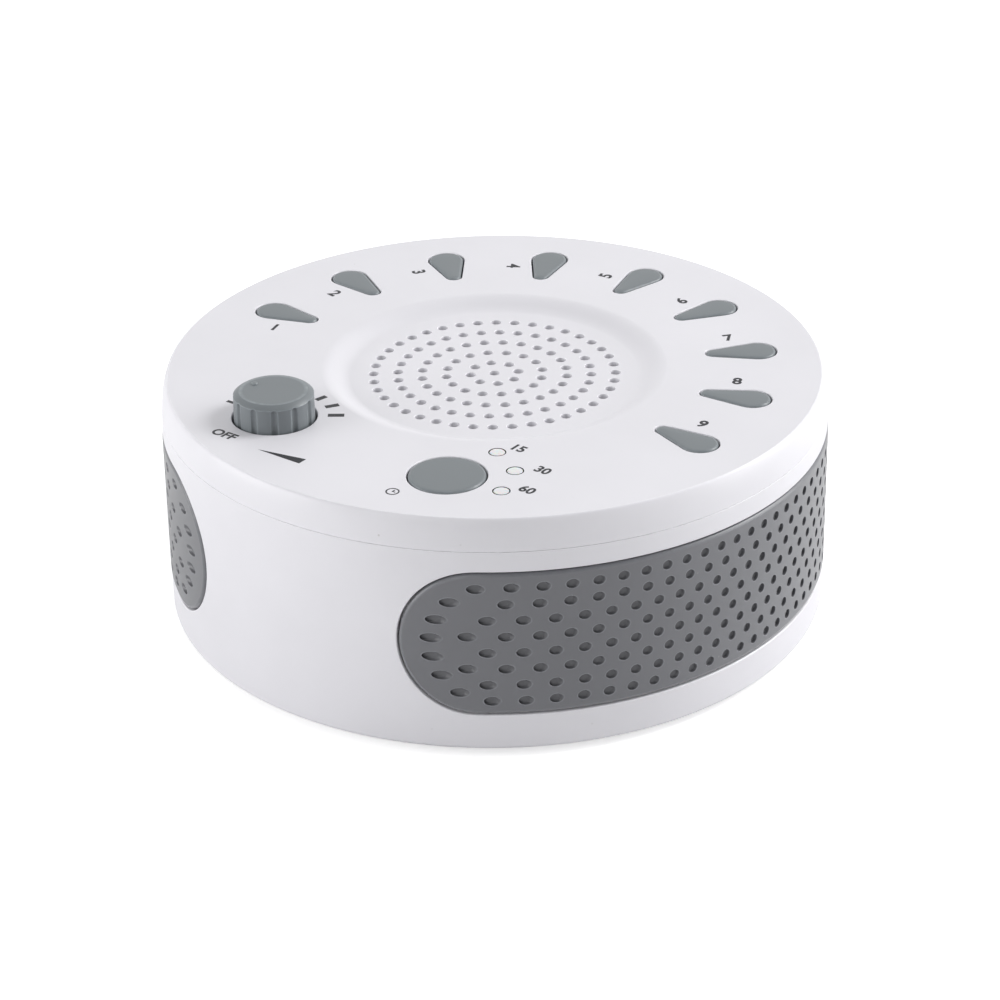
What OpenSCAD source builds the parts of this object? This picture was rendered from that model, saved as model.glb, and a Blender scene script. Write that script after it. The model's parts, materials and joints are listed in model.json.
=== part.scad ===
// Table-top white noise sound machine: a round two-part case with a dished speaker grille,
// nine teardrop sound buttons, a round timer button, a fluted volume knob and a dimpled
// grip on each side. Millimetres, +Z up, origin on the table under the middle of the case,
// front towards -Y.

/* [Case] */
// Diameter of the case
case_d = 146; // [144:1:170]
// Height of the case from its bottom edge to its rim
case_h = 53.5; // [53:0.5:62]
// Thickness of the side wall
wall = 2.2; // [2:0.1:2.6]
// Thickness of the top plate
top_t = 2.2; // [1.8:0.1:2.6]
// Thickness of the floor
floor_t = 2.2; // [2.1:0.1:2.8]
// Height below the rim over which the wall curves in
crown_h = 10; // [8:0.5:12]
// How far the wall has curved in at the rim
crown_in = 1.8; // [1:0.1:2]
// Radius of the bottom outer edge
base_round = 1.2; // [0.4:0.1:2]
// Distance from the rim down to the seam between cover and housing
seam_drop = 7; // [6:0.5:8]
// Width of the bevel on each side of the seam
seam_bevel = 0.2; // [0.1:0.05:0.4]
// Depth of the cover's tongue inside the housing wall
tongue_h = 1.6; // [1:0.1:2]
// Thickness of the tongue
tongue_t = 1.5; // [1:0.1:2]
// Gap between pieces that slide into one another when the case is put together
fit_gap = 0.1; // [0.05:0.05:0.2]

/* [Speaker dish] */
// Radius of the flat floor of the dish
dish_flat_r = 31.5; // [31:0.5:33]
// Radius where the slope of the dish meets the top face
dish_r = 38; // [37:0.5:40]
// Depth of the dish
dish_drop = 2.1; // [1:0.1:2.5]
// Diameter of one sound hole
hole_d = 2.3; // [1.5:0.1:2.6]
// Distance between rings of sound holes
hole_pitch = 5.3; // [4.8:0.1:5.5]
// Number of rings round the middle hole
hole_rings = 5; // [3:1:5]
// Sound holes in the first ring, and added with each further ring
holes_per_ring = 8; // [6:1:8]

/* [Sound buttons] */
// Angle of the first sound button, seen from above
first_button_a = 186; // [184:1:188]
// Angle between neighbouring sound buttons
button_step_a = 24; // [23:0.5:24]
// Distance of the small end's centre from the middle
button_in_r = 48.4; // [47.5:0.1:49.5]
// Distance of the large end's centre from the middle
button_out_r = 58.2; // [57:0.1:59]
// Radius of the opening at the small end
opening_tip_r = 1.9; // [1.5:0.1:2.4]
// Radius of the opening at the large end
opening_end_r = 4.3; // [3.8:0.1:4.8]
// Gap between a cap and its opening
cap_gap = 0.3; // [0.2:0.05:0.5]
// Height of a cap above the top face
cap_proud = 0.25; // [0.2:0.05:1.5]
// Radius of a cap's upper edge
cap_round = 0.7; // [0.2:0.1:0.8]
// Travel of a button
button_travel = 0.6; // [0.3:0.1:0.8]
// Width of the lip that keeps a cap under the cover
cap_lip = 1.1; // [0.8:0.1:1.4]
// Thickness of that lip
cap_lip_t = 1.2; // [0.8:0.1:1.6]
// Radius of a cap's stem
stem_r = 2; // [1.8:0.1:2.4]

/* [Timer] */
// Distance of the timer button from the middle
timer_out_r = 53.3; // [51.5:0.1:54]
// Angle of the timer button from the front
timer_a = 26.4; // [24:0.1:28]
// Diameter of the timer button's opening
timer_opening_d = 16.8; // [15:0.1:18]
// Radius of the arc of timer lights
light_r = 13.2; // [13:0.1:14.5]
// Distance of the arc's centre behind the timer button's centre
light_back = 1.2; // [0:0.1:1.4]
// Angle of the middle light on its arc
light_a = 39.5; // [38:0.5:44]
// Angle between neighbouring lights
light_step_a = 41; // [38:0.5:42]
// Diameter of a light pipe
light_d = 3.3; // [2.8:0.1:3.6]
// Gap round a light pipe in the cover
light_gap = 0.25; // [0.1:0.05:0.3]

/* [Volume knob] */
// Distance of the knob from the middle
knob_out_r = 52.5; // [51.5:0.1:54]
// Angle of the knob from the front
knob_a = 25.8; // [24:0.1:28]
// Diameter of the knob at its foot
knob_d = 17.5; // [16:0.1:18.5]
// Diameter of the knob at its top edge
knob_top_d = 17.2; // [15:0.1:17.5]
// Height of the knob above the top face
knob_h = 6.1; // [6:0.1:9]
// Width of the knob's rounded top edge
knob_edge_w = 1.3; // [0.5:0.1:1.8]
// Height of that edge
knob_edge_h = 0.9; // [0.4:0.1:1.4]
// Number of flutes
flutes = 12; // [8:1:16]
// Radius of a flute
flute_r = 0.95; // [0.6:0.05:1.2]
// Distance from the knob's top down to the flutes' upper ends
flute_drop = 1.1; // [1:0.1:2.5]
// Angle of the pointer mark round the knob, at the first tick
pointer_a = 180.7; // [178:0.1:184]
// Angle from the pointer mark to the next flute
flute_lead_a = 10; // [0:1:29]
// Gap between the knob and its well
well_gap = 0.35; // [0.3:0.05:0.8]
// Depth of the well
well_depth = 4; // [3.5:0.1:4.5]
// Thickness of the well's wall and floor
well_t = 1.5; // [1.2:0.1:1.8]
// Diameter of the potentiometer's shaft
shaft_d = 6; // [5:0.1:6.4]
// Radial clearance of the shaft in its bushing
shaft_gap = 0.05; // [0.02:0.01:0.1]

/* [Side grips] */
// Angle from a grip's middle to the centre of its round end
grip_end_a = 56.2; // [50:0.1:57]
// Half the height of a grip, and the radius of its ends
grip_half_h = 16.4; // [15:0.1:17]
// Height of a grip's middle above the case's bottom edge
grip_mid_h = 25.15; // [24:0.05:26]
// Depth of the recess that holds a grip
recess_depth = 2.3; // [2:0.1:2.6]
// Thickness of the wall behind a grip
pan_t = 2.2; // [1.6:0.1:2.6]
// How far a grip stands out of the wall
grip_proud = 0.15; // [0:0.05:0.6]
// Gap round a grip
grip_gap = 0.35; // [0.15:0.05:0.6]
// Diameter of a dimple
dimple_d = 2.1; // [1.6:0.1:2.3]
// Depth of a dimple, square to the grip
dimple_depth = 0.7; // [0.4:0.1:1]
// Distance between dimples in a row of the middle field
dimple_pitch = 4.58; // [4.4:0.01:4.8]
// Distance between the rows of the middle field
row_pitch = 3.77; // [3.5:0.01:3.9]
// Number of rows in the middle field
dimple_rows = 6; // [4:1:6]
// Distance from the outline to the ring of dimples, measured up
ring_inset = 3.15; // [3:0.05:4.2]
// Distance between dimples in the ring
ring_pitch = 4.36; // [4.2:0.01:4.8]
// Distance round the ring from its tip to the first dimple
ring_start = 0.9; // [0:0.1:4]
// Distance from the ring to the edge of the middle field
field_inset = 3.1; // [3:0.05:3.5]
// Radius of the pegs that hold a grip
peg_r = 1.8; // [1.4:0.1:2.2]

/* [Battery bay] */
// Diameter of one cell's place
cell_pitch = 15; // [14.8:0.1:15.5]
// Number of cells side by side
cells = 4; // [4:1:4]
// Length of the bay inside
bay_l = 57; // [56:0.5:60]
// Height of the bay inside, above the door
bay_h = 15.4; // [15:0.1:16]
// Thickness of the bay's walls and roof
bay_t = 1.8; // [1.5:0.1:2]
// Thickness of the battery door
door_t = 2; // [1.6:0.1:2.1]
// Width of the ledge that the door closes against
door_ledge = 1.6; // [1.2:0.1:2]
// Gap round the door
door_gap = 0.3; // [0.2:0.05:0.4]
// Radius of the door's hinge barrel
barrel_r = 1.6; // [1.4:0.1:1.8]
// Radius of the door's hinge pins
door_pin_r = 0.9; // [0.7:0.1:1]
// Radial clearance of the hinge pins
door_pin_gap = 0.05; // [0.02:0.01:0.1]
// Thickness of a battery contact plate
contact_t = 0.4; // [0.3:0.1:0.6]

/* [Speaker] */
// Radius of the speaker's rim
speaker_r = 33; // [32:0.5:34]
// Depth of the speaker behind its rim
speaker_depth = 24; // [22:0.5:24.5]
// Height of the seat that holds the speaker off the dish
seat_h = 2.5; // [2:0.1:3]
// Thickness of the basket's sheet
basket_t = 0.8; // [0.6:0.1:1]
// Radius of the circle of speaker screws
speaker_screw_r = 37; // [36.5:0.5:38]
// Radius of the voice coil
coil_r = 7; // [6.5:0.1:7.5]

/* [Boards and leads] */
// Depth of the control board's upper face below the rim
board_drop = 12.4; // [12:0.1:13]
// Thickness of the boards
board_t = 1.6; // [1.2:0.1:2]
// Inner radius of the control board
board_in_r = 38.5; // [38:0.5:39]
// Width of a tact switch
switch_w = 6; // [5.6:0.1:6.4]
// Height of a tact switch's body
switch_h = 3.5; // [3.2:0.1:4]
// Height of a switch plunger above the switch's body
plunger_out = 1.5; // [1.2:0.1:2]
// Radius of a switch plunger
plunger_r = 1.7; // [1.4:0.1:1.8]
// Diameter of the supply jack's nose
jack_d = 8; // [7.5:0.1:8.5]
// Height of the supply jack's axis above the power board
jack_axis_h = 6.5; // [6:0.1:7]
// Diameter of a lead
lead_d = 1.3; // [1:0.1:1.6]

/* [Feet and screws] */
// Height of the feet below the case
foot_h = 1.5; // [1:0.1:3]
// Diameter of a foot
foot_d = 12; // [9:0.5:13]
// Depth of the foot's recess in the floor
foot_recess = 0.8; // [0.5:0.1:1.2]
// Distance of the feet from the middle
foot_ring_r = 58; // [56:0.5:60]
// Distance of the case screws from the middle
post_ring_r = 59.5; // [59:0.1:60.5]
// Height above the case's bottom edge where the cover's posts meet the housing's
post_join_h = 22; // [20:0.5:24]
// Depth of the case screws' recess
screw_recess = 12; // [8:0.5:14]
// Radius of a case screw's core
case_screw_r = 1.25; // [1:0.05:1.5]
// Radius of a small screw's core
small_screw_r = 0.9; // [0.8:0.05:1.1]

/* [Hidden] */

$fn = 96;
eps = 0.01;
// Round and straight outlines that would only graze each other cross by this much
lap = 0.02;
case_white = [0.93, 0.93, 0.94];
trim_grey = [0.52, 0.54, 0.55];
grip_grey = [0.47, 0.48, 0.50];
board_green = [0.10, 0.36, 0.22];
part_black = [0.12, 0.12, 0.13];
steel = [0.72, 0.73, 0.75];

// Heights of the case
z_bottom = foot_h;
z_rim = z_bottom + case_h;
z_floor = z_bottom + floor_t;
z_plate = z_rim - top_t;
z_seam = z_rim - seam_drop;
z_dish = z_rim - dish_drop;
z_dish_under = z_dish - top_t;
z_grip = z_bottom + grip_mid_h;

// Radii of the case: straight up to the crown, then a quarter of an ellipse
case_r = case_d / 2;
z_crown = z_rim - crown_h;
function wall_r(z) = z <= z_crown ? case_r
    : case_r - crown_in * (1 - sqrt(1 - pow((z - z_crown) / crown_h, 2)));
crown_steps = 10;
function crown(a0, a1) = [for (i = [0:crown_steps]) let (a = a0 + (a1 - a0) * i / crown_steps)
    [case_r - crown_in * (1 - cos(a)), z_crown + crown_h * sin(a)]];
function crown_a(z) = asin((z - z_crown) / crown_h);
tongue_r = wall_r(z_seam) - wall - fit_gap;
recess_r = case_r - recess_depth;
pan_r = recess_r - pan_t;

// Arc of points round [cx, cy] from angle a0 to a1
arc_steps = 6;
function arc(cx, cy, r, a0, a1) =
    [for (i = [0:arc_steps]) let (a = a0 + (a1 - a0) * i / arc_steps)
        [cx + r * cos(a), cy + r * sin(a)]];

// Slope of the dish: a half cosine wave from the dish's floor up to the top face
slope_steps = 14;
function slope(z_low) =
    [for (i = [0:slope_steps]) let (t = i / slope_steps)
        [dish_flat_r + (dish_r - dish_flat_r) * t, z_low + dish_drop * (1 - cos(180 * t)) / 2]];
function reversed(list) = [for (i = [len(list) - 1:-1:0]) list[i]];

// Places children at radius r and angle a from the middle
module at(a, r) { rotate([0, 0, a]) translate([r, 0, 0]) children(); }

// Controls
function button_a(n) = first_button_a - button_step_a * (n - 1);
button_mid_r = (button_in_r + button_out_r) / 2;
sound_buttons = 9;
timer_x = timer_out_r * sin(timer_a);
timer_y = -timer_out_r * cos(timer_a);
timer_r = timer_opening_d / 2 - cap_gap;
knob_x = -knob_out_r * sin(knob_a);
knob_y = -knob_out_r * cos(knob_a);
light_places = [for (i = [-1:1]) let (a = light_a + i * light_step_a)
    [timer_x + light_r * cos(a), timer_y + light_back + light_r * sin(a)]];
z_cap_top = z_rim + cap_proud;
lip_clear = 0.05;
z_lip = z_plate - lip_clear;

// Boards
z_board_top = z_rim - board_drop;
z_board = z_board_top - board_t;
z_plunger = z_board_top + switch_h + plunger_out;
plunger_gap = 0.08;
plunger_seat = 0.4;
peg_head_r = peg_r + 1;
peg_head_t = 1;
peg_places_a = [-42, -14, 14, 42];
peg_seat_r = sqrt(pan_r * pan_r - peg_head_r * peg_head_r) - fit_gap / 2;
board_out_r = peg_seat_r - peg_head_t - 1.4;
small_post_r = 2.5;
// Angle and radius of each of the control board's posts
board_posts = [[54, 60], [126, 60], [200, 55], [340, 55], [270, 48]];
small_head_r = 1.9;
small_head_t = 1.4;
small_screw_l = 7;
screw_slot_w = 0.6;

// Knob well, shaft and potentiometer
well_r = knob_d / 2 + well_gap;
z_well = z_rim - well_depth;
z_well_under = z_well - well_t;
pot_clear = 0.3;
z_pot_top = z_well_under - pot_clear;
pot_r = 8.25;
bushing_r = shaft_d / 2 + 0.7;
z_bushing = z_well - 0.2;
z_shaft_foot = z_board_top + 2;
knob_clear = 0.6;
z_knob = z_well + knob_clear;
z_knob_top = z_rim + knob_h;
knob_roof = 1.6;
z_shaft_top = z_knob_top - knob_roof;
knob_hub_r = shaft_d / 2 + 1.8;
knob_skirt_t = 2;
shaft_flat = shaft_d / 4;

// Case posts and feet
post_places_a = [30, 150, 210, 330];
foot_places_a = [45, 135, 225, 315];
z_join = z_bottom + post_join_h;
z_screw_seat = z_bottom + screw_recess;
case_head_r = 2.8;
case_head_t = 2;
case_screw_l = 20;
post_r = case_screw_r + 2.75;
housing_post_r = case_head_r + 1.8;

// Battery bay, centred in the floor, cells along Y
bay_w = cells * cell_pitch + 0.4;
z_door_top = z_bottom + door_t;
z_bay_top = z_door_top + bay_h;
door_half_w = bay_w / 2 + door_ledge;
door_half_l = bay_l / 2 + door_ledge;
hinge_y = door_half_l - barrel_r;
hinge_z = z_bottom + barrel_r;
hinge_pin_l = 2;
function cell_x(n) = (n - (cells - 1) / 2) * cell_pitch;
z_cell = z_door_top + bay_h / 2;
contact_w = 11;
contact_h = 10;
tail_w = 3;
tail_out = 2.5;
spring_l = 5.5;
spring_wire_d = 0.8;
spring_foot_r = 4;
spring_tip_r = 2.6;
spring_turns = 3;

// Speaker, from its seat under the dish down to the yoke
z_seat = z_dish_under - seat_h;
gasket_t = 0.8;
surround_t = 0.4;
z_gasket = z_seat - gasket_t;
z_basket_top = z_gasket - surround_t;
z_basket_under = z_basket_top - basket_t;
z_yoke = z_basket_top - speaker_depth;
speaker_screw_l = z_plate - z_basket_under - 1.6;
yoke_t = 2;
magnet_t = 5.4;
top_plate_t = 2;
z_magnet = z_yoke + yoke_t;
z_top_plate = z_magnet + magnet_t;
z_basket_floor = z_top_plate + top_plate_t;
magnet_r = 16;
basket_floor_r = 15.5;
basket_window_r = speaker_r - 4.5;
seat_in_r = speaker_r - 4.5;
roll_r = 1.8;
roll_mid_r = seat_in_r - roll_r - 0.3;
cone_r = roll_mid_r - roll_r + 0.3;
cone_t = 0.5;
coil_t = 0.4;
pole_r = coil_r - coil_t - 0.3;
plate_hole_r = coil_r + 0.4;
z_spider = z_basket_floor + 3;
z_cone_foot = z_spider + 1.6;
speaker_ears_a = [0, 90, 180, 270];
ear_r = 3.6;
locating_gap = 0.3;
locating_t = 1.4;
cloth_t = 0.3;
cloth_r = seat_in_r - 0.5;

// Supply jack and power board, against the rear wall
z_power_board = z_floor + 3;
z_power_board_top = z_power_board + board_t;
z_jack = z_power_board_top + jack_axis_h;
jack_body_w = 9;
jack_body_l = 11;
jack_body_h = 10.5;
jack_body_y = case_r - 4;
jack_bore_r = 3.1;
jack_pin_r = 1;
power_board_w = 34;
power_board_l = 24;
power_board_y = jack_body_y - power_board_l / 2 - 1;
power_post_x = 13;
power_post_y = power_board_y - 7;
header_w = 7;
header_l = 5;
header_h = 5.5;
supply_header_x = 6;
battery_header_x = -6;
header_y = power_board_y - 7;
board_header_y = 44;
board_header_x = 12;
speaker_header_x = -board_in_r - header_l;
terminal_inset = 2;
terminal_r = speaker_r - terminal_inset;
terminal_h = 6;
lead_half_pitch = 1.25;
lead_gap = 0.12;

// ---------------------------------------------------------------- shared shapes

// Outline of a button opening or cap, grown by g: two circles and the quad between them
module teardrop(g) {
    tip = opening_tip_r + g - lap;
    end = opening_end_r + g - lap;
    d = button_out_r - button_in_r;
    a = acos((tip - end) / d);
    translate([button_in_r, 0]) circle(r = tip + lap);
    translate([button_out_r, 0]) circle(r = end + lap);
    polygon([
        [button_in_r + tip * cos(a), tip * sin(a)],
        [button_in_r + tip * cos(a), -tip * sin(a)],
        [button_out_r + end * cos(a), -end * sin(a)],
        [button_out_r + end * cos(a), end * sin(a)]]);
}

// Disc with a rounded upper edge, from z0 to z1
module rounded_disc(r, z0, z1, round_r) {
    rotate_extrude()
        polygon(concat([[0, z0], [r, z0]], arc(r - round_r, z1 - round_r, round_r, 0, 90), [[0, z1]]));
}

// Screw with a slotted pan head, seated at z = 0, head below and core above
module screw(core_r, core_l, head_r, head_t) {
    cylinder(r = core_r - fit_gap / 2, h = core_l);
    difference() {
        translate([0, 0, -head_t])
            rotate_extrude()
                polygon(concat([[0, 0]], arc(head_r - 0.6, 0.6, 0.6, -90, 0),
                    [[head_r, head_t], [0, head_t]]));
        for (a = [0, 90])
            rotate([0, 0, a])
                translate([-head_r * 0.6, -screw_slot_w / 2, -head_t - eps])
                    cube([head_r * 1.2, screw_slot_w, head_t / 2]);
    }
}

// Points of a cubic curve from p to s, leaving towards q and arriving from r
lead_steps = 12;
function curve(p, q, r, s) =
    [for (i = [0:lead_steps]) let (t = i / lead_steps, u = 1 - t)
        p * u * u * u + q * 3 * u * u * t + r * 3 * u * t * t + s * t * t * t];

function unit(v) = v / norm(v);

// Round wire of radius r swept along a list of points; side is any direction off the path
wire_sides = 8;
module wire(path, r, side) {
    n = len(path);
    function dir(i) = unit(path[min(i + 1, n - 1)] - path[max(i - 1, 0)]);
    function across(i) = unit(cross(dir(i), side));
    function up(i) = cross(dir(i), across(i));
    points = [for (i = [0:n - 1]) for (k = [0:wire_sides - 1])
        let (a = 360 * k / wire_sides)
        path[i] + r * (cos(a) * across(i) + sin(a) * up(i))];
    tube = [for (i = [0:n - 2]) for (k = [0:wire_sides - 1])
        let (k2 = (k + 1) % wire_sides, b = i * wire_sides, c = b + wire_sides)
        [b + k, c + k, c + k2, b + k2]];
    first = [[for (k = [0:wire_sides - 1]) k]];
    last = [[for (k = [wire_sides - 1:-1:0]) (n - 1) * wire_sides + k]];
    polyhedron(points, concat(tube, first, last));
}

// ---------------------------------------------------------------- case

// Sound holes: rings of 8, 16, 24, 32 and 40 round the middle one
module sound_holes() {
    for (ring = [0:hole_rings])
        for (i = [0:max(ring * holes_per_ring, 1) - 1])
            at(i * 360 / max(ring * holes_per_ring, 1), ring * hole_pitch)
                translate([0, 0, z_dish_under - 1])
                    cylinder(d = hole_d, h = top_t + 2, $fn = 24);
}

module cover_shell() {
    rotate_extrude()
        polygon(concat(
            [[0, z_dish]], slope(z_dish),
            reversed(crown(crown_a(z_seam + seam_bevel), 90)),
            [
                [wall_r(z_seam) - seam_bevel, z_seam],
                [tongue_r, z_seam],
                [tongue_r, z_seam - tongue_h],
                [tongue_r - tongue_t, z_seam - tongue_h],
                [tongue_r - tongue_t, z_plate]],
            reversed(slope(z_dish_under)),
            [[0, z_dish_under]]));
}

// Seat ring and locating ring under the dish
module speaker_mount() {
    rotate_extrude() {
        translate([seat_in_r, z_seat])
            square([speaker_r - seat_in_r, seat_h + top_t / 2]);
        translate([speaker_r + locating_gap, z_basket_under])
            square([locating_t, z_dish - z_basket_under - top_t / 2]);
    }
    for (a = speaker_ears_a)
        at(a, speaker_screw_r)
            translate([0, 0, z_basket_top])
                cylinder(r = small_post_r + 0.4, h = z_plate + eps - z_basket_top);
}

// The speaker's ears reach through the locating ring
module ear_slots() {
    for (a = speaker_ears_a)
        at(a, speaker_r)
            translate([-1, -ear_r - locating_gap, z_basket_under - 1])
                cube([6, 2 * (ear_r + locating_gap), z_basket_top + 1 - z_basket_under]);
}

module knob_well() {
    translate([knob_x, knob_y, z_well_under])
        cylinder(r = well_r + well_t, h = z_plate + eps - z_well_under);
}

module knob_well_bore() {
    translate([knob_x, knob_y, z_well]) cylinder(r = well_r, h = well_depth + 1);
    translate([knob_x, knob_y, z_well_under - 1])
        cylinder(r = bushing_r + pot_clear, h = well_t + 2);
}

module top_cover() {
    color(case_white)
    difference() {
        union() {
            cover_shell();
            speaker_mount();
            knob_well();
            for (a = post_places_a)
                at(a, post_ring_r) translate([0, 0, z_join])
                    cylinder(r = post_r, h = z_plate + eps - z_join);
            for (p = board_posts)
                at(p[0], p[1]) translate([0, 0, z_board_top])
                    cylinder(r = small_post_r, h = z_plate + eps - z_board_top);
        }
        sound_holes();
        ear_slots();
        knob_well_bore();
        for (n = [1:sound_buttons])
            rotate([0, 0, button_a(n)]) translate([0, 0, z_plate - 1])
                linear_extrude(top_t + 2) teardrop(0);
        translate([timer_x, timer_y, z_plate - 1]) cylinder(d = timer_opening_d, h = top_t + 2);
        for (p = light_places)
            translate([p[0], p[1], z_plate - 1])
                cylinder(r = light_d / 2 + light_gap, h = top_t + 2);
        for (a = post_places_a)
            at(a, post_ring_r) translate([0, 0, z_join - 1])
                cylinder(r = case_screw_r, h = case_screw_l - post_join_h + screw_recess + 3);
        for (p = board_posts)
            at(p[0], p[1]) translate([0, 0, z_board_top - 1])
                cylinder(r = small_screw_r, h = small_screw_l + 1);
        for (a = speaker_ears_a)
            at(a, speaker_screw_r) translate([0, 0, z_basket_top - 1])
                cylinder(r = small_screw_r, h = speaker_screw_l + 0.5);
    }
}

// Solid of a grip's outline, from radius r0 to r1, grown by g: a band of the wall
// between two round ends, each cut square to the wall
module grip_zone(r0, r1, g) {
    half = grip_half_h + g;
    intersection() {
        rotate_extrude()
            translate([r0, z_grip - half]) square([r1 - r0, 2 * half]);
        union() {
            linear_extrude(z_rim)
                polygon([[0, 0],
                    2 * r1 * [cos(grip_end_a), -sin(grip_end_a)],
                    [3 * r1, 0],
                    2 * r1 * [cos(grip_end_a), sin(grip_end_a)]]);
            for (a = [-grip_end_a, grip_end_a])
                rotate([0, 0, a]) translate([r0 / 2, 0, z_grip]) rotate([0, 90, 0])
                    cylinder(r = half + lap, h = r1);
        }
    }
}

module housing_shell() {
    rotate_extrude()
        polygon(concat(
            [[0, z_bottom]],
            arc(case_r - base_round, z_bottom + base_round, base_round, -90, 0),
            crown(0, crown_a(z_seam - seam_bevel)),
            [[wall_r(z_seam) - seam_bevel, z_seam],
                [wall_r(z_seam) - wall, z_seam],
                [wall_r(z_seam) - wall, z_crown],
                [case_r - wall, z_crown - wall],
                [case_r - wall, z_floor],
                [0, z_floor]]));
}

// Posts that a grip's pegs pass through
module peg_holes() {
    for (side = [0, 180])
        for (a = peg_places_a)
            rotate([0, 0, side + a]) translate([pan_r - 2, 0, z_grip]) rotate([0, 90, 0])
                cylinder(r = peg_r + fit_gap, h = pan_t + 4);
}

module bay_block() {
    translate([-bay_w / 2 - bay_t, -bay_l / 2 - bay_t, z_floor - eps])
        cube([bay_w + 2 * bay_t, bay_l + 2 * bay_t, z_bay_top + bay_t - z_floor + eps]);
    // thicker foot round the door's ledge and hinge
    translate([-door_half_w - bay_t - 1, -door_half_l - bay_t, z_floor - eps])
        cube([2 * (door_half_w + bay_t + 1), 2 * (door_half_l + bay_t), 2 * barrel_r + 1]);
}

module bay_cut() {
    translate([-bay_w / 2, -bay_l / 2, z_door_top - eps])
        cube([bay_w, bay_l, bay_h + eps]);
    translate([-door_half_w - door_gap, -door_half_l - door_gap, z_bottom - 1])
        cube([2 * (door_half_w + door_gap), 2 * (door_half_l + door_gap), door_t + 1]);
    // trough for the hinge barrel
    translate([-door_half_w - door_gap, hinge_y, hinge_z]) rotate([0, 90, 0])
        cylinder(r = barrel_r + door_gap, h = 2 * (door_half_w + door_gap));
    // bores for the hinge pins
    translate([-door_half_w - hinge_pin_l, hinge_y, hinge_z]) rotate([0, 90, 0])
        cylinder(r = door_pin_r + door_pin_gap, h = 2 * (door_half_w + hinge_pin_l));
    // slots for the contact tails
    for (n = [0, cells - 1])
        translate([cell_x(n) - tail_w / 2 - fit_gap, bay_l / 2 - 1, z_cell - contact_t - fit_gap])
            cube([tail_w + 2 * fit_gap, bay_t + 2, contact_t + 2 * fit_gap]);
    // thumb scoop beside the door's catch
    translate([0, -door_half_l - door_gap, z_bottom])
        cylinder(r = 7, h = floor_t, center = true);
}

module lower_housing() {
    color(case_white)
    difference() {
        union() {
            housing_shell();
            for (side = [0, 180])
                rotate([0, 0, side]) grip_zone(pan_r, case_r - wall / 2, wall);
            for (a = post_places_a)
                at(a, post_ring_r) translate([0, 0, z_bottom + eps])
                    cylinder(r = housing_post_r, h = post_join_h - eps);
            bay_block();
            for (x = [-power_post_x, power_post_x])
                translate([x, power_post_y, z_floor - eps])
                    cylinder(r = small_post_r, h = z_power_board - z_floor + eps);
        }
        for (side = [0, 180])
            rotate([0, 0, side]) grip_zone(recess_r, case_r + 2, grip_gap);
        peg_holes();
        bay_cut();
        for (a = post_places_a)
            at(a, post_ring_r) {
                translate([0, 0, z_bottom - 1]) cylinder(r = case_head_r + 0.4, h = screw_recess + 1);
                translate([0, 0, z_bottom]) cylinder(r = case_screw_r + 0.35, h = post_join_h + 1);
            }
        for (a = foot_places_a)
            at(a, foot_ring_r) translate([0, 0, z_bottom - 1])
                cylinder(d = foot_d + 2 * fit_gap, h = foot_recess + 1);
        for (x = [-power_post_x, power_post_x])
            translate([x, power_post_y, z_power_board - 3.4])
                cylinder(r = small_screw_r, h = 4);
        translate([0, case_r - 8, z_jack]) rotate([-90, 0, 0])
            cylinder(d = jack_d + 2 * fit_gap, h = 12);
    }
}

// ---------------------------------------------------------------- side grips

// The ring of dimples, seen square to the grip: two straight rows joined by half ellipses
ring_tip_y = case_r * sin(grip_end_a) - 1;
ring_half_h = grip_half_h - ring_inset;
ring_end_l = ring_half_h * 0.44;

// Points of one closed outline, and the length walked up to each of them
function ring_outline(n) = [for (i = [0:n]) let (a = 360 * i / n)
    [(a <= 90 || a > 270 ? 1 : -1) * ring_tip_y + ring_end_l * cos(a), ring_half_h * sin(a)]];
outline_points = ring_outline(120);
function walked(p, i = 0, sum = 0) = i == len(p) - 1 ? [sum]
    : concat([sum], walked(p, i + 1, sum + norm(p[i + 1] - p[i])));
outline_walk = walked(outline_points);
ring_length = outline_walk[len(outline_walk) - 1];
ring_count = round(ring_length / ring_pitch);
function along(u, i = 0) =
    outline_walk[i + 1] >= u
    ? outline_points[i] + (outline_points[i + 1] - outline_points[i])
        * (u - outline_walk[i]) / (outline_walk[i + 1] - outline_walk[i])
    : along(u, i + 1);
ring_dimples = [for (k = [0:ring_count - 1])
    along((ring_start + k * ring_length / ring_count) % ring_length)];

// The middle field: staggered rows kept clear of the ring
function in_field(y, z) = let (h = ring_half_h - field_inset, e = ring_end_l - field_inset)
    abs(y) <= ring_tip_y ? abs(z) <= h
    : pow((abs(y) - ring_tip_y) / e, 2) + pow(z / h, 2) <= 1;
field_columns = floor(ring_tip_y / dimple_pitch) + 1;
field_dimples = [for (row = [0:dimple_rows - 1]) for (c = [-field_columns:field_columns])
    let (y = (c + (row % 2) / 2) * dimple_pitch, z = (row - (dimple_rows - 1) / 2) * row_pitch)
    if (in_field(y, z)) [y, z]];

// Pins of the mould for the dimples, all along its pull, with ends that follow the skin
module dimple_pins() {
    difference() {
        for (p = concat(ring_dimples, field_dimples))
            translate([0, p[0], z_grip + p[1]]) rotate([0, 90, 0])
                cylinder(d = dimple_d, h = 2 * case_r, $fn = 16);
        cylinder(r = case_r + grip_proud - dimple_depth, h = z_rim);
    }
}

module grip_panel() {
    difference() {
        grip_zone(recess_r, case_r + grip_proud, 0);
        dimple_pins();
    }
    for (a = peg_places_a)
        rotate([0, 0, a]) {
            translate([peg_seat_r - eps, 0, z_grip]) rotate([0, 90, 0])
                cylinder(r = peg_r, h = recess_r + 0.3 - peg_seat_r);
            translate([peg_seat_r - peg_head_t, 0, z_grip]) rotate([0, 90, 0])
                cylinder(r = peg_head_r, h = peg_head_t);
        }
}

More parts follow.
